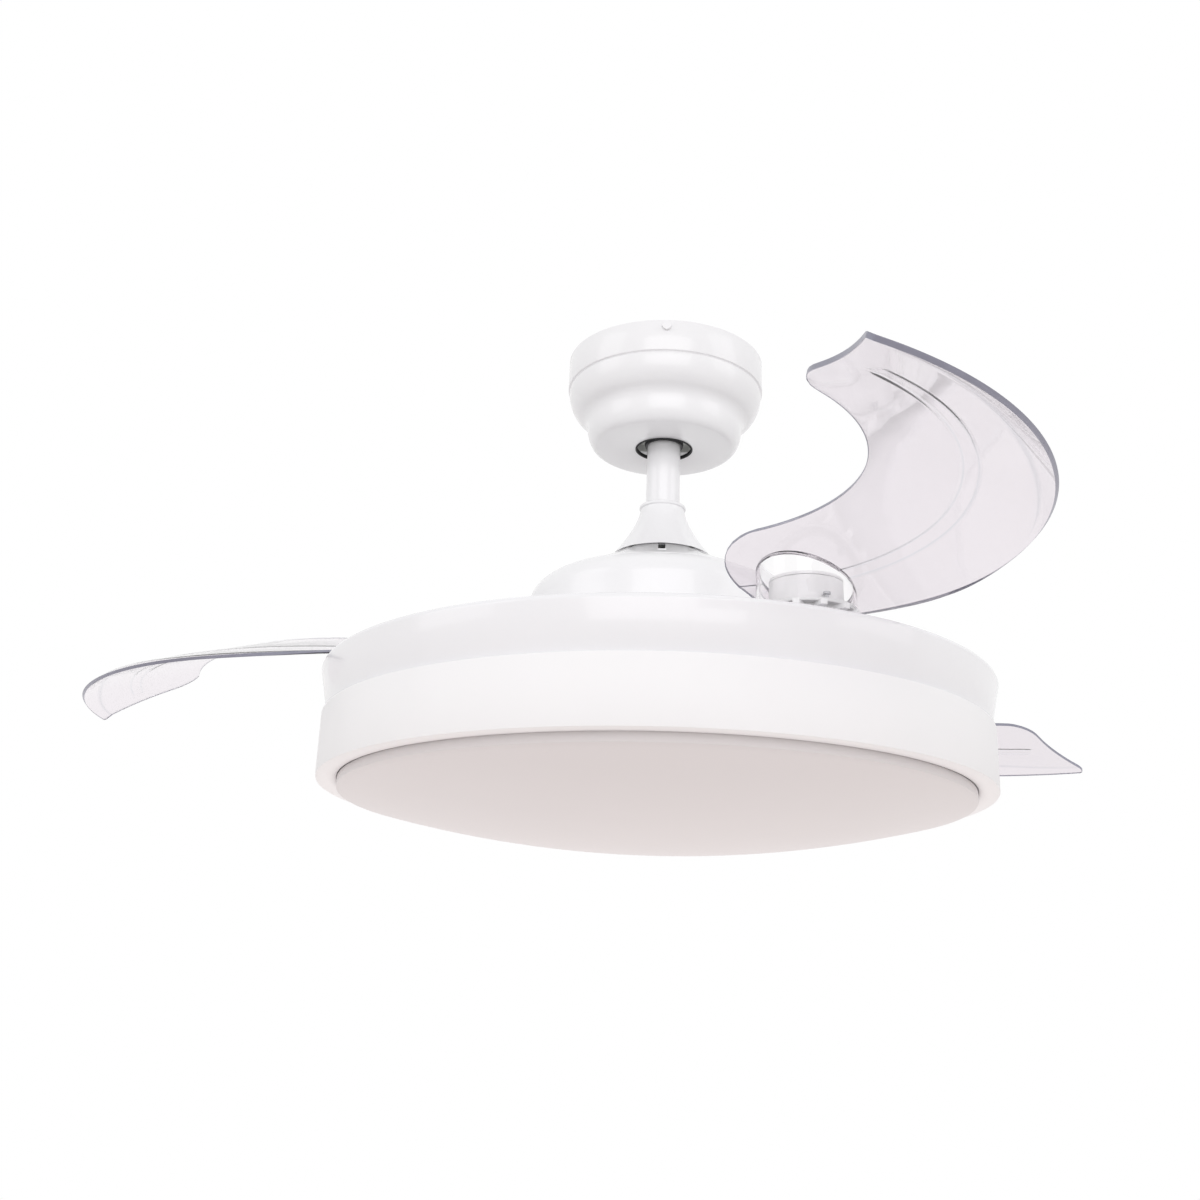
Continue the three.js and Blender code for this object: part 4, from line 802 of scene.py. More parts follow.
@dataclass
class CeilingMount:
    """Canopy with its two bulges and the dark rubber edge of its hole, whose lip below the floor also stands
    in for the shade in the hole.
    """

    workshop: Workshop
    wall: float = 1.5 * MM
    band: float = 26.0 * MM
    groove: float = 1.6 * MM
    groove_slope: float = 0.3
    crease_radius: float = 62.0 * MM
    crease_depth: float = 51.0 * MM
    crease_sink: float = 0.6 * MM
    upper_end: float = -62.0
    lower_start: float = -8.0
    floor_radius: float = 54.0 * MM
    lower_height: float = 17.0 * MM
    hole: float = 22.0 * MM
    trim_inner: float = 21.7 * MM
    trim_lip: float = 23.3 * MM
    trim_drop: float = 0.35 * MM
    trim_rise: float = 0.6 * MM
    trim_gap: float = 0.05 * MM
    lip_gap: float = 0.03 * MM

    def side(self, inset: float, radius: float, top: float, bottom: float) -> list[Point]:
        """Draw the canopy's side from its top to its flat floor.

        Args:
            inset: How far the line is moved in from the outside.
            radius: The band's outer radius.
            top: Height of the upper rim.
            bottom: Height of the floor's outside.

        Returns:
            The line's points.
        """
        bulge_top = -self.band - self.groove
        reach = radius - MM - self.crease_radius - inset
        fall = self.crease_depth + bulge_top - inset
        upper = arc((self.crease_radius, bulge_top), (reach, fall), 0, self.upper_end, 14)
        lower_reach = self.crease_radius + MM - self.floor_radius - inset
        centre = (self.floor_radius, bottom + self.lower_height)
        lower = arc(centre, (lower_reach, self.lower_height - inset), self.lower_start, -90, 12)
        corner = (lower[0][0], -self.crease_depth - self.crease_sink - inset)
        crease = bent(upper[-1], corner, lower[0], 8)
        return [(radius - inset, top), (radius - inset, -self.band), *upper, *crease, *lower]

    def build(self) -> None:
        """Make the canopy and the dark ring in its hole, which is partly painted shade."""
        low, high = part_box("canopy")
        outside = self.side(0.0, high.x, high.z, low.z)
        depth = high.x - self.groove
        slopes = (self.groove_slope, 1 - self.groove_slope)
        outside[2:2] = [(depth, -self.band - slope * self.groove) for slope in slopes]
        inside = self.side(self.wall, high.x, high.z, low.z)[::-1]
        floor = [(self.hole, low.z), (self.hole, low.z + self.wall)]
        shape = self.workshop.turned([*outside, *floor, *inside], 192, 0.4 * MM)
        self.workshop.finish(shape, "canopy_shell", "ceiling", Slot.GLOSS_WHITE, ["canopy"])
        trim_top = low.z + self.wall + self.trim_rise
        lip_top = low.z - self.lip_gap
        lip_foot = low.z - self.trim_drop
        trim_outer = self.hole - self.trim_gap
        # the dark rubber lip that reaches out under the floor also stands in for the shade in the hole
        trim = [
            (self.trim_inner, trim_top), (self.trim_inner, lip_foot), (self.trim_lip, lip_foot),
            (self.trim_lip, lip_top), (trim_outer, lip_top), (trim_outer, trim_top),
        ]
        ring = self.workshop.turned(trim, 96)
        self.workshop.finish(ring, "canopy_hole_trim", "ceiling", Slot.BLACK_RUBBER)


@dataclass
class Suspension:
    """Hanger ball, its collar, the downrod and the trumpet over the coupling."""

    workshop: Workshop
    ball_radius: float = 22.0 * MM
    ball_gap: float = 0.3 * MM
    collar_radius: float = 16.0 * MM
    collar_taper: float = 0.8 * MM
    collar_gap: float = 0.15 * MM
    collar_top: float = 4.8 * MM
    collar_foot: float = 1.8 * MM
    rod_wall: float = 2.0 * MM
    cover_wall: float = 1.5 * MM
    cover_gap: float = 0.6 * MM
    lip: float = 1.0 * MM
    lip_height: float = 3.0 * MM
    neck: float = 17.6 * MM
    foot_drop: float = 2.4 * MM
    flare: float = 1.5
    top_drop: float = 2.0 * MM

    def build(self) -> None:
        """Make the four pieces."""
        self.ball()
        self.collar()
        self.rod()
        self.cover()

    def ball(self) -> None:
        """The dark ball, cut flat above and below, on the rod."""
        low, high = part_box("hanger_ball")
        middle = (low.z + high.z) / 2
        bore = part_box("downrod")[1].x + self.ball_gap
        cut = math.degrees(math.asin((high.z - low.z) / 2 / self.ball_radius))
        outline = arc((0, middle), (self.ball_radius, self.ball_radius), -cut, cut, 24)
        shape = self.workshop.turned([*outline, (bore, high.z), (bore, low.z)], 96, 0.4 * MM)
        self.workshop.finish(shape, "ball", "hanging", Slot.BLACK_PLASTIC, ["hanger_ball"])

    def collar(self) -> None:
        """The ball's dark collar, which shows in the canopy's hole round the rod."""
        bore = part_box("downrod")[1].x + self.collar_gap
        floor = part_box("canopy")[0].z
        top = floor + self.collar_top
        foot = floor + self.collar_foot
        foot_radius = self.collar_radius - self.collar_taper
        outline = [(bore, foot), (foot_radius, foot), (self.collar_radius, top), (bore, top)]
        shape = self.workshop.turned(outline, 96, 0.4 * MM)
        self.workshop.finish(shape, "ball_collar", "hanging", Slot.BLACK_PLASTIC)

    def rod(self) -> None:
        """The painted pipe."""
        low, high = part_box("downrod")
        inner = high.x - self.rod_wall
        outline = [(inner, low.z), (high.x, low.z), (high.x, high.z), (inner, high.z)]
        shape = self.workshop.turned(outline, 96, 0.3 * MM)
        self.workshop.finish(shape, "rod", "hanging", Slot.GLOSS_WHITE, ["downrod"])

    def cover(self) -> None:
        """The trumpet: a rolled lip on top, then a slope that widens faster and faster."""
        low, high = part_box("coupling_cover")
        foot = low.z - self.foot_drop
        top = high.z - self.top_drop
        cone_top = top - self.lip_height
        steps = 24

        def slope(share: float, inset: float) -> Point:
            """A point on the trumpet's side."""
            radius = self.neck + (high.x - self.neck) * share ** self.flare
            return radius - inset, cone_top + (foot - cone_top) * share

        outside = [slope(index / steps, 0.0) for index in range(steps + 1)]
        inside = [slope(index / steps, self.cover_wall) for index in range(steps, 1, -1)]
        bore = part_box("downrod")[1].x + self.cover_gap
        half = self.lip_height / 2
        bead = arc((self.neck, top - half), (self.lip, half), 90, -90, 8)
        ceiling = cone_top - self.cover_wall
        shape = self.workshop.turned([(bore, top), *bead, *outside, *inside, (bore, ceiling)], 128)
        self.workshop.finish(shape, "trumpet", "hanging", Slot.GLOSS_WHITE, ["coupling_cover"])


@dataclass
class MotorDome:
    """The motor's white cover with its ring of cooling slots."""

    workshop: Workshop
    wall: float = 1.6 * MM
    hole: float = 21.0 * MM
    flat: float = 36.0 * MM
    shoulder_drop: float = 24.0 * MM
    round_reach: float = 25.0 * MM
    round_drop: float = 22.0 * MM
    flange_width: float = 10.0 * MM
    flange_height: float = 1.8 * MM
    slot_count: int = 10
    slot_width: float = 5.5 * MM
    slot_length: float = 22.0 * MM

    def line(self, radius: float, top: float, inset: float) -> list[Point]:
        """Draw the dome's skin from its hole to its straight side.

        Args:
            radius: The straight side's outer radius.
            top: Height of the flat top's outside.
            inset: How far the line is moved in from the outside.

        Returns:
            The line's points.
        """
        shoulder = radius - self.round_reach
        centre = (shoulder, top - self.shoulder_drop - self.round_drop)
        curve = arc(centre, (self.round_reach - inset, self.round_drop - inset), 90, 0, 20)
        return [(self.hole, top - inset), (self.flat, top - inset), *curve]

    def build(self) -> None:
        """Make the cover and cut its slots."""
        low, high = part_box("motor_cover")
        radius = high.x - self.flange_width
        ledge = low.z + self.flange_height
        outside = self.line(radius, high.z, 0.0)
        inside = self.line(radius, high.z, self.wall)[::-1]
        rim = [(radius, ledge), (high.x, ledge), (high.x, low.z), (radius - self.wall, low.z)]
        shell = self.workshop.turned([*outside, *rim, *inside], 160, 0.35 * MM)
        cutters = []
        for index in range(self.slot_count):
            half = self.slot_width / 2
            corner = (self.flat, -half, high.z - self.shoulder_drop)
            cutter = self.workshop.box(corner, (self.flat + self.slot_length, half, high.z + MM))
            turn = Matrix.Rotation(math.tau * (index + 0.5) / self.slot_count, 4, "Z")
            bmesh.ops.transform(cutter, matrix=turn, verts=cutter.verts)
            cutters.append(cutter)
        shape = self.workshop.carved(shell, cutters)
        self.workshop.finish(shape, "motor_dome", "rotor", Slot.GLOSS_WHITE, ["motor_cover"])


@dataclass
class BladeDeck:
    """The turning plate that carries the three blades."""

    workshop: Workshop
    hole: float = 30.0 * MM
    thickness: float = 3.0 * MM
    rim_outer: float = 153.0 * MM
    rim_wall: float = 2.5 * MM

    def build(self) -> None:
        """Make the plate with the rim that guides the toothed ring."""
        low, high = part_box("blade_carrier")
        top = low.z + self.thickness
        rim_inner = self.rim_outer - self.rim_wall
        outline = [
            (self.hole, low.z), (high.x, low.z), (high.x, top), (self.rim_outer, top),
            (self.rim_outer, high.z), (rim_inner, high.z), (rim_inner, top), (self.hole, top),
        ]
        shape = self.workshop.turned(outline, 192, 0.4 * MM)
        self.workshop.finish(shape, "blade_deck", "rotor", Slot.WHITE_PLASTIC, ["blade_carrier"])


@dataclass
class LampDrum:
    """Flared upper tier, matt lower ring and opal diffuser."""

    workshop: Workshop
    slant: float = 6.5 * MM
    edge_round: float = 4.0 * MM
    wall: float = 2.5 * MM
    tier_flange: float = 8.0 * MM
    shaft_hole: float = 8.8 * MM
    ring_wall: float = 3.0 * MM
    ring_lip: float = 15.0 * MM
    lip_bevel: Point = (2.5 * MM, 0.8 * MM)
    ring_flange: float = 12.0 * MM
    side: float = 6.0 * MM
    bulge: float = 30.0 * MM
    step: float = 3.5 * MM
    step_rise: float = 1.0 * MM
    diffuser_wall: float = 2.5 * MM
    rim_swell: float = 0.8 * MM

    def build(self) -> None:
        """Make the three tiers."""
        self.tier()
        self.ring()
        self.diffuser()

    def tier(self) -> None:
        """Upper tier: wider at its round top edge than at its foot."""
        low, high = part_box("upper_housing")
        foot = high.x - self.slant
        rounding = self.edge_round
        edge = arc((high.x - rounding, high.z - rounding), (rounding, rounding), 0, 90, 10)
        plate = high.z - self.wall
        flange_top = low.z + self.wall
        flange = foot - self.tier_flange
        outline = [
            (foot, low.z), *edge, (self.shaft_hole, high.z), (self.shaft_hole, plate),
            (high.x - rounding, plate), (foot - self.wall, flange_top), (flange, flange_top), (flange, low.z),
        ]
        shape = self.workshop.turned(outline, 256, 0.3 * MM)
        self.workshop.finish(shape, "drum_tier", "hanging", Slot.GLOSS_PLASTIC, ["upper_housing"])

    def ring(self) -> None:
        """Lower ring: a plain band, with a lip under it."""
        low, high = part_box("lower_ring")
        inner = high.x - self.ring_wall
        lip = high.x - self.ring_lip
        flange = high.x - self.ring_flange
        lip_top = low.z + self.ring_wall
        flange_bottom = high.z - self.ring_wall
        bevel_width, bevel_height = self.lip_bevel
        outline = [
            (high.x, low.z), (high.x, high.z), (flange, high.z), (flange, flange_bottom),
            (inner, flange_bottom), (inner, lip_top), (lip, lip_top), (lip, low.z + bevel_height),
            (lip + bevel_width, low.z),
        ]
        shape = self.workshop.turned(outline, 256, 0.7 * MM)
        self.workshop.finish(shape, "drum_ring", "hanging", Slot.MATT_PLASTIC, ["lower_ring"])

    def diffuser(self) -> None:
        """Opal bowl that hangs in the ring by its neck."""
        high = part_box("diffuser")[1]
        ring_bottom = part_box("lower_ring")[0].z
        edge = ring_bottom - self.side
        neck = high.x - self.step
        inner = neck - self.diffuser_wall
        shoulder = ring_bottom + self.step_rise
        steps = 36

        def bowl(radius: float, height: float, index: int) -> Point:
            """A point on the bowl's curve."""
            share = index / steps
            return radius * share, height - self.bulge * (1 - share ** 2)

        rim = high.x + self.rim_swell
        outside = [bowl(rim, edge, index) for index in range(steps + 1)]
        inside = [bowl(inner, edge + self.diffuser_wall, index) for index in range(steps, -1, -1)]
        neck_line = [(rim, shoulder), (neck, shoulder), (neck, high.z), (inner, high.z)]
        shape = self.workshop.turned([*outside, *neck_line, *inside], 256)
        self.workshop.soften(shape, 0.5 * MM, 40.0)
        self.workshop.finish(shape, "opal_bowl", "diffuser", Slot.OPAL, ["diffuser"])


@dataclass
class BladeUnit:
    """The clear blades with their cups, and the toothed hubs in them.

    A blade is described folded, as an arc round the fan's axis, and then swung
    out about its pivot. Angles are in degrees. A share runs along the blade,
    from 0 at its root to 1 at its tip.
    """

    workshop: Workshop
    pivot_radius: float = 202.5 * MM
    pivot_angle: float = -62.3
    fold: float = 111.0
    outer: float = 242.6 * MM
    inner: float = 150.0 * MM
    thickness: float = 3.0 * MM
    inner_height: float = 44.0 * MM
    inner_sink: float = 7.5 * MM
    outer_height: float = 3.1 * MM
    root_rise: float = 8.0 * MM
    root_share: float = 0.25
    lip_width: float = 15.0 * MM
    lip_reach: float = 33.0 * MM
    lip_drop: float = 5.0 * MM
    lip_curve: float = 1.6
    lip_start: float = 0.40
    lip_opening: float = 0.35
    lip_least: float = 0.2
    lip_end: float = 0.80
    lip_closing: float = 0.20
    lip_loss: float = 0.45
    # the bend_ fields place the painted shade line along the fold
    bend_shift: float = 2.0 * MM
    bend_line: float = 1.4 * MM
    bend_start: float = 0.42
    bend_fade: float = 0.12
    tip_outer_angle: float = -171.85
    tip_inner_angle: float = -161.0
    tip_outer_round: float = 5.0 * MM
    tip_inner_round: float = 24.0 * MM
    tip_hollow: float = 2.5 * MM
    rib_radius: float = 202.0 * MM
    rib_width: float = 8.5 * MM
    rib_height: float = 0.4 * MM
    rib_slope: float = 1.6 * MM
    # rib_line: width of the painted shade along the rib's edges
    rib_line: float = 0.9 * MM
    rib_end: float = -159.0
    cup_radius: float = 32.5 * MM
    cup_wall: float = 2.3 * MM
    cup_floor: float = 2.5 * MM
    cup_hole: float = 24.3 * MM
    cup_share: float = 0.1
    rim_high: float = 0.2
    rim_step: float = 0.5 * MM
    rim_sink: float = 0.6 * MM
    rim_foot: float = 1.6 * MM
    rim_shade: float = 0.45
    hole_step: float = 0.8 * MM
    teeth: int = 12
    module: float = 5.0 * MM
    gear_height: float = 3.0 * MM
    gear_lap: float = 0.5 * MM
    hub_bore: float = 4.6 * MM
    hub_flange: float = 31.5 * MM
    hub_flange_height: float = 2.3 * MM
    hub_drum: float = 24.0 * MM
    hub_inner: float = 21.0 * MM
    sleeve: float = 7.0 * MM
    sleeve_height: float = 8.0 * MM
    cap_rim: float = 20.0 * MM
    cap_dish: float = 19.0 * MM
    cap_dent: float = 0.5 * MM
    rows: int = 110
    column_gap: float = 0.35 * MM

    def __post_init__(self) -> None:
        """Work out the heights that come from the frame."""
        self.deck_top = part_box("blade_carrier")[0].z + BladeDeck.thickness
        self.cup_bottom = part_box("blade_1")[0].z
        angle = math.radians(self.pivot_angle)
        self.pivot = Vector((math.cos(angle), math.sin(angle), 0.0)) * self.pivot_radius

    # -- shape of the sheet, folded --

    def root_angle(self, radius: float) -> float:
        """Find where the blade starts: on half a circle round the pivot.

        Args:
            radius: Distance from the fan's axis.

        Returns:
            The angle of the blade's root at that distance.
        """
        half = (self.outer - self.inner) / 2
        reach = math.sqrt(max(0.0, half ** 2 - (radius - (self.outer + self.inner) / 2) ** 2))
        return self.pivot_angle + math.degrees(reach / radius)

    def tip_angle(self, radius: float) -> float:
        """Find where the blade ends: on a bowed edge with two round corners.

        Args:
            radius: Distance from the fan's axis.

        Returns:
            The angle of the blade's tip at that distance.
        """
        width = self.outer - self.inner
        from_inner = radius - self.inner
        from_outer = self.outer - radius

        def rounding(distance: float, size: float) -> float:
            """How far a round corner takes the edge back."""
            return size - math.sqrt(size ** 2 - max(0.0, size - distance) ** 2)

        straight = self.tip_inner_angle + (self.tip_outer_angle - self.tip_inner_angle) * from_inner / width
        hollow = self.tip_hollow * math.sin(math.pi * from_inner / width)
        rounded = rounding(from_inner, self.tip_inner_round) + rounding(from_outer, self.tip_outer_round)
        return straight + math.degrees((rounded + hollow) / radius)

    def top_height(self, radius: float, share: float) -> float:
        """Find the height of the sheet's upper surface.

        Args:
            radius: Distance from the fan's axis.
            share: Place along the blade.

        Returns:
            The height on the rib's level.
        """
        along = levelled(share / self.root_share)
        inner = self.inner_height - self.inner_sink * share
        outer = self.outer_height + self.root_rise * (1 - along)
        depth = self.lip_drop * along * self.lip_at(share) / self.lip_width
        drop = (inner - outer - depth) * (radius - self.inner) / (self.outer - self.inner)
        bend = max(0.0, 1 - (self.outer - radius) / self.lip_at(share)) ** self.lip_curve
        return self.deck_top + inner + self.thickness - drop - bend * depth

    def lip_at(self, share: float) -> float:
        """Find how wide the bent outer strip is, which is narrow along the first half.

        Args:
            share: Place along the blade.

        Returns:
            The strip's width.
        """
        opening = smooth(share, self.lip_start, self.lip_opening)
        closing = smooth(share, self.lip_end, self.lip_closing)
        width = self.lip_width * (self.lip_least + (1 - self.lip_least) * opening)
        return width * (1 - self.lip_loss * closing)

    def shifted(self, radius: float, share: float) -> float:
        """Move a column so that it follows the bend.

        Args:
            radius: The column's distance from the axis where the strip is widest.
            share: Place along the blade.

        Returns:
            Its distance from the axis there.
        """
        from_outer = self.outer - radius
        lip = self.lip_at(share)
        if from_outer <= self.lip_width:
            return self.outer - from_outer * lip / self.lip_width
        if from_outer < self.lip_reach:
            past = (from_outer - self.lip_width) / (self.lip_reach - self.lip_width)
            return self.outer - lip - past * (self.lip_reach - lip)
        return radius

    def rib_distance(self, radius: float, angle: float) -> float:
        """Find how far a place is outside the rib's outline.

        Args:
            radius: The place's distance from the fan's axis.
            angle: Its angle.

        Returns:
            The distance, negative on the rib.
        """
        across = radius - self.rib_radius
        past_end = max(0.0, math.radians(self.rib_end - angle) * self.rib_radius)
        return math.hypot(across, past_end) - self.rib_width / 2

    def columns(self) -> list[float]:
        """Place the sheet's columns, closer at its edges, its rib and its bend.

        Returns:
            The columns' distances from the axis.
        """
        half = self.rib_width / 2
        crest = self.outer - self.lip_width
        # steps away from each line, in millimetres
        near_edge = (0.0, 0.5, 1.2, 2.4)
        near_rib = (-1.6, -0.8, 0, 0.8, 1.6)
        near_bend = (-6, -3, -1.5, 0, 1.5, 3, 5, 7, 9, 11)
        radii = [self.inner + step * MM for step in (*near_edge, *range(6, 78, 5))]
        radii += [self.outer - step * MM for step in near_edge]
        radii += [self.rib_radius + side * (half + step * MM) for side in (-1, 1) for step in near_rib]
        radii += [crest + step * MM for step in near_bend]
        kept: list[float] = []
        for radius in sorted(radii):
            if not kept or radius - kept[-1] > self.column_gap:
                kept.append(radius)
        return kept

    def shares(self) -> list[float]:
        """Place the sheet's rows along the blade, closer at both ends."""
        even = [index / self.rows for index in range(self.rows + 1)]
        return sorted([*even, 0.002, 0.005, 0.995, 0.998])

    def sheet(self) -> Shape:
        """Make the bowed sheet with its rib and its bent outer edge.

        Returns:
            The open blade's sheet, with the marks where its finish paints shade on the cut edges, the rib's
            edges and the fold.
        """
        radii = self.columns()
        shares = self.shares()
        shape = bmesh.new()
        bmesh.ops.create_grid(shape, x_segments=len(shares) - 1, y_segments=len(radii) - 1, size=0.5)
        marks = {name: shape.verts.layers.float.new(name) for name in ("edge", "line", "bend", "pale")}
        turn = turn_about(self.pivot, self.fold)
        crest = self.outer - self.lip_width + self.bend_shift
        for vert in shape.verts:
            row = round((vert.co.x + 0.5) * (len(shares) - 1))
            column = round((vert.co.y + 0.5) * (len(radii) - 1))
            share = shares[row]
            radius = self.shifted(radii[column], share)
            start, end = self.root_angle(radius), self.tip_angle(radius)
            angle = start + (end - start) * share
            distance = self.rib_distance(radius, angle)
            rise = smooth(0.5 - distance / self.rib_slope)
            height = self.top_height(radius, share) - self.rib_height * (1 - rise)
            across, along = math.cos(math.radians(angle)), math.sin(math.radians(angle))
            vert.co = turn @ Vector((radius * across, radius * along, height))
            # edge marks the cut edges, where the finish paints an opaque dark shade
            vert[marks["edge"]] = float(row in (0, len(shares) - 1) or column in (0, len(radii) - 1))
            # line marks the rib's edges, where the finish paints a line of shade
            vert[marks["line"]] = math.exp(-((distance / self.rib_line) ** 2))
            # bend marks the fold, where the finish paints a line of shade
            bend = math.exp(-(((radii[column] - crest) / self.bend_line) ** 2))
            vert[marks["bend"]] = bend * smooth(share, self.bend_start, self.bend_fade)
        bmesh.ops.recalc_face_normals(shape, faces=shape.faces)
        if sum(face.normal.z for face in shape.faces) < 0:
            bmesh.ops.reverse_faces(shape, faces=shape.faces)
        bmesh.ops.solidify(shape, geom=shape.faces[:], thickness=self.thickness - self.rib_height)
        bmesh.ops.recalc_face_normals(shape, faces=shape.faces)
        return shape

    def cup(self) -> Shape:
        """Make the clear cup under the root.

        The rim is turned far too high, and its points are then put at the
        sheet's height.

        Returns:
            The cup of the open blade, with the marks that its finish reads: painted light over the cup and
            painted shade on its rim.
        """
        bore = self.cup_radius - self.cup_wall
        floor_top = self.cup_bottom + self.cup_floor
        rim = self.cup_bottom + self.rim_high
        below = rim - self.rim_step
        outline = [
            (self.cup_hole, self.cup_bottom), (self.cup_radius, self.cup_bottom), (self.cup_radius, below),
            (self.cup_radius, rim), (bore, rim), (bore, below), (bore, floor_top), (self.cup_hole, floor_top),
        ]
        shape = self.workshop.turned(outline, 96)
        edge = shape.verts.layers.float.new("edge")
        pale = shape.verts.layers.float.new("pale")
        for name in ("line", "bend"):
            shape.verts.layers.float.new(name)
        back = turn_about(self.pivot, -self.fold)
        bmesh.ops.translate(shape, verts=shape.verts, vec=self.pivot)
        for vert in shape.verts:
            # pale paints the whole cup paler: painted light
            vert[pale] = 1.0
            if vert.co.z > below - self.rim_step:
                folded = back @ vert.co
                top = self.top_height(math.hypot(folded.x, folded.y), self.cup_share)
                on_rim = vert.co.z > below + self.rim_step / 2
                vert.co.z = top - (self.rim_sink if on_rim else self.rim_foot)
                # the rim's top gets part of the painted shade of the cut edges
                vert[edge] = self.rim_shade if on_rim else 0.0
        self.workshop.soften(shape, 0.5 * MM, 40.0)
        return shape

    def hub(self) -> Shape:
        """Make the white toothed hub: pinion, flange, hollow drum and sleeve.

        Returns:
            The first blade's hub.
        """
        low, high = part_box("pivot_hub_1")
        gear_top = low.z + self.gear_height
        flange_top = gear_top + self.hub_flange_height
        sleeve_top = flange_top + self.sleeve_height
        # a gap between two teeth faces the fan's axis
        first = self.pivot_angle + 180 + 180 / self.teeth
        pinion = self.workshop.gear(self.teeth, self.module, first, low.z, gear_top + self.gear_lap)
        outline = [
            (self.hub_bore, gear_top), (self.hub_flange, gear_top), (self.hub_flange, flange_top),
            (self.hub_drum, flange_top), (self.hub_drum, high.z), (self.hub_inner, high.z),
            (self.hub_inner, flange_top), (self.sleeve, flange_top), (self.sleeve, sleeve_top),
            (self.hub_bore, sleeve_top),
        ]
        body = self.workshop.turned(outline, 96, 0.35 * MM)
        shape = self.workshop.merge(body, pinion)
        bmesh.ops.translate(shape, verts=shape.verts, vec=self.pivot)
        return shape

    def cap(self) -> Shape:
        """Make the flat cap on the hub's drum.

        Returns:
            The first blade's cap.
        """
        low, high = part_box("pivot_cap_1")
        dish = high.z - self.cap_dent
        outline = [
            (0, low.z), (self.hub_drum, low.z), (self.hub_drum, high.z), (self.cap_rim, high.z),
            (self.cap_dish, dish), (0, dish),
        ]
        shape = self.workshop.turned(outline, 96, 0.25 * MM)
        bmesh.ops.translate(shape, verts=shape.verts, vec=self.pivot)
        return shape

    def build(self) -> None:
        """Make the pieces once and place them at the three pivots."""
        reach = self.cup_radius - self.cup_wall + self.hole_step
        foot = self.cup_bottom - 10 * MM
        hole = self.workshop.turned([(0, foot), (reach, foot), (reach, 0.0), (0, 0.0)], 96)
        bmesh.ops.translate(hole, verts=hole.verts, vec=self.pivot)
        blade = self.workshop.merge(self.workshop.carved(self.sheet(), [hole]), self.cup())
        plans = (
            ("clear_blade", blade, Slot.CLEAR, "blade", 24.0),
            ("hub", self.hub(), Slot.WHITE_PLASTIC, "pivot_hub", 32.0),
            ("hub_cap", self.cap(), Slot.WHITE_PLASTIC, "pivot_cap", 32.0),
        )
        for name, shape, slot, node, sharp in plans:
            for number in (1, 2, 3):
                turn = Matrix.Rotation(math.radians(120 * (number - 1)), 4, "Z")
                copy = shape.copy()
                bmesh.ops.transform(copy, matrix=turn, verts=copy.verts)
                piece = self.workshop.finish(
                    copy, f"{name}_{number}", f"blade_unit_{number}", slot, [f"{node}_{number}"], sharp,
                )
                piece.visible_shadow = slot is not Slot.CLEAR
            shape.free()


# ---------------------------------------------------------------------------
# studio
# ---------------------------------------------------------------------------


@dataclass
class Softbox:
    """One large soft lamp that points at the fan."""

    name: str
    place: Vector
    width: float
    height: float
    power: float
    colour: Colour = (1.0, 1.0, 1.0)
    mirrored: bool = True
    target: Vector = field(default_factory=lambda: Vector((0.0, 0.0, -0.25)))

    def build(self) -> None:
        """Add the lamp."""
        lamp = bpy.data.lights.new(self.name, "AREA")
        lamp.shape = "RECTANGLE"
        lamp.size = self.width
        lamp.size_y = self.height
        lamp.energy = self.power
        lamp.color = self.colour
        holder = bpy.data.objects.new(self.name, lamp)
        holder.location = self.place
        holder.visible_glossy = self.mirrored
        holder.visible_transmission = False
        holder.visible_camera = False
        holder.rotation_euler = (self.target - self.place).to_track_quat("-Z", "Y").to_euler()
        bpy.context.scene.collection.objects.link(holder)


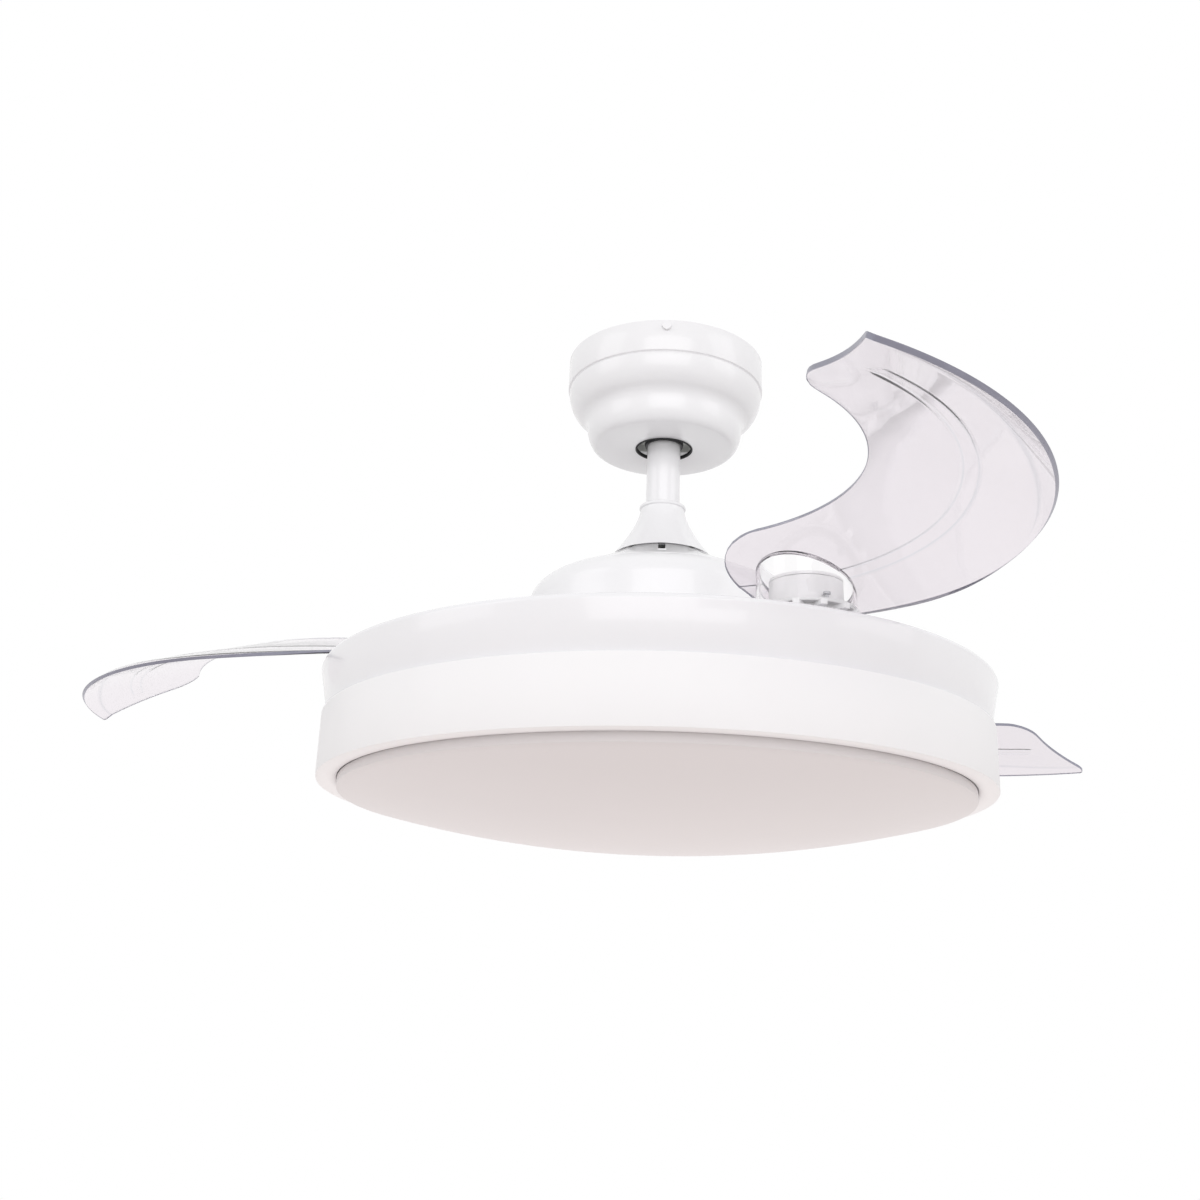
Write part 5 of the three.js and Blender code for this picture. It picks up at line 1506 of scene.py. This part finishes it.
@dataclass
class Studio:
    """Pale floor, white surroundings, soft lamps and the camera of the photograph."""

    floor_height: float = -2.4
    floor_radius: float = 5.0
    floor_fade: Point = (0.55, 0.98)
    floor_warm: tuple[Colour, Colour] = ((0.84, 0.775, 0.755), (0.82, 0.755, 0.735))
    floor_seen: Colour = (0.96, 0.95, 0.945)
    world_light: float = 0.70
    focal: float = 1345.76
    frame_size: float = 1200.0
    sensor: float = 36.0
    axis_pixel: Point = (640.0, 580.0)
    eye: Vector = field(default_factory=lambda: Vector((0.0, -1.00906, -0.52592)))
    pitch: float = 0.32326
    roll: float = 0.02775
    yaw: float = -0.01645

    def build(self) -> None:
        """Set up everything round the fan."""
        self.camera()
        self.world()
        self.floor()
        for lamp in self.lamps():
            lamp.build()
        bpy.context.scene.view_settings.view_transform = "Standard"

    def camera(self) -> None:
        """The photograph's camera, which looks up at the fan from in front."""
        lens = bpy.data.cameras.new("camera")
        lens.sensor_width = self.sensor
        lens.sensor_fit = "AUTO"
        lens.lens = self.focal / self.frame_size * self.sensor
        centre = self.frame_size / 2
        lens.shift_x = (centre - self.axis_pixel[0]) / self.frame_size
        lens.shift_y = (self.axis_pixel[1] - centre) / self.frame_size
        lens.clip_end = 100.0
        level = math.cos(self.pitch)
        forward = Vector((math.sin(self.yaw) * level, math.cos(self.yaw) * level, math.sin(self.pitch)))
        right = Vector((math.cos(self.yaw), -math.sin(self.yaw), 0.0))
        up = right.cross(forward)
        rolled_right = math.cos(self.roll) * right + math.sin(self.roll) * up
        rolled_up = math.cos(self.roll) * up - math.sin(self.roll) * right
        pose = Matrix((rolled_right, rolled_up, -forward)).transposed().to_4x4()
        pose.translation = self.eye
        camera = bpy.data.objects.new("camera", lens)
        camera.matrix_world = pose
        bpy.context.scene.collection.objects.link(camera)
        bpy.context.scene.camera = camera

    def world(self) -> None:
        """White where it is seen, straight, in gloss or through a clear piece, and softer as a light."""
        world = bpy.data.worlds.new("surroundings")
        world.use_nodes = True
        bpy.context.scene.world = world
        tree = NodeTree(world.node_tree)
        strength = self.world_light + (1 - self.world_light) * tree.seen()
        inputs = {"Color": (1.0, 1.0, 1.0, 1.0), "Strength": strength}
        shader = tree.node("ShaderNodeBackground", {}, inputs).outputs[0]
        tree.node("ShaderNodeOutputWorld", {}, {"Surface": shader})

    def floor(self) -> None:
        """A pale round floor far below, fading out at its edge."""
        shape = bmesh.new()
        bmesh.ops.create_circle(shape, cap_ends=True, segments=96, radius=self.floor_radius)
        bmesh.ops.translate(shape, verts=shape.verts, vec=(0, 0, self.floor_height))
        mesh = bpy.data.meshes.new("floor")
        shape.to_mesh(mesh)
        shape.free()
        floor = bpy.data.objects.new("floor", mesh)
        bpy.context.scene.collection.objects.link(floor)
        material = bpy.data.materials.new("pale floor")
        material.use_nodes = True
        tree = NodeTree(material.node_tree)
        level = {0: tree.place(), 1: (1.0, 1.0, 0.0)}
        flat = tree.node("ShaderNodeVectorMath", {"operation": "MULTIPLY"}, level)
        length = tree.signal("ShaderNodeVectorMath", {"operation": "LENGTH"}, {0: flat.outputs[0]}, "Value")
        faded = length.fade(*(share * self.floor_radius for share in self.floor_fade))
        warm = tree.blend(tree.noise(3.0), *self.floor_warm)
        colour = tree.blend(tree.seen(), warm, self.floor_seen)
        matt = tree.node("ShaderNodeBsdfDiffuse", {}, {"Color": colour}).outputs[0]
        clear = tree.node("ShaderNodeBsdfTransparent", {}, {}).outputs[0]
        mixed = tree.node("ShaderNodeMixShader", {}, {0: faded, 1: matt, 2: clear}).outputs[0]
        tree.node("ShaderNodeOutputMaterial", {}, {"Surface": mixed})
        floor.data.materials.append(material)

    @staticmethod
    def lamps() -> list[Softbox]:
        """A large front lamp, one low behind and two at the sides."""
        cool, warm = (0.99, 0.985, 1.0), (1.0, 0.955, 0.945)
        return [
            Softbox("front lamp", Vector((0.1, -2.8, 0.4)), 2.6, 2.0, 24.0, cool),
            Softbox("low lamp", Vector((0.0, 1.2, -1.8)), 2.0, 1.4, 15.0, warm, mirrored=False),
            Softbox("left lamp", Vector((-2.6, -1.2, 0.9)), 1.6, 2.2, 9.0, cool),
            Softbox("right lamp", Vector((2.6, -1.0, 0.9)), 1.6, 2.2, 9.0, cool),
        ]


def main() -> None:
    """Load the frame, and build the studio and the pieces."""
    logging.basicConfig(level=logging.INFO, format="%(name)s: %(message)s")
    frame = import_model()
    Studio().build()
    palette = Palette()
    palette.dress_frame(frame)
    workshop = Workshop(palette)
    assemblies = [CeilingMount, Suspension, MotorDome, BladeDeck, LampDrum, BladeUnit]
    for assembly in assemblies:
        log.info("building %s", assembly.__name__)
        assembly(workshop).build()
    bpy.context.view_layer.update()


if __name__ == "__main__":
    main()
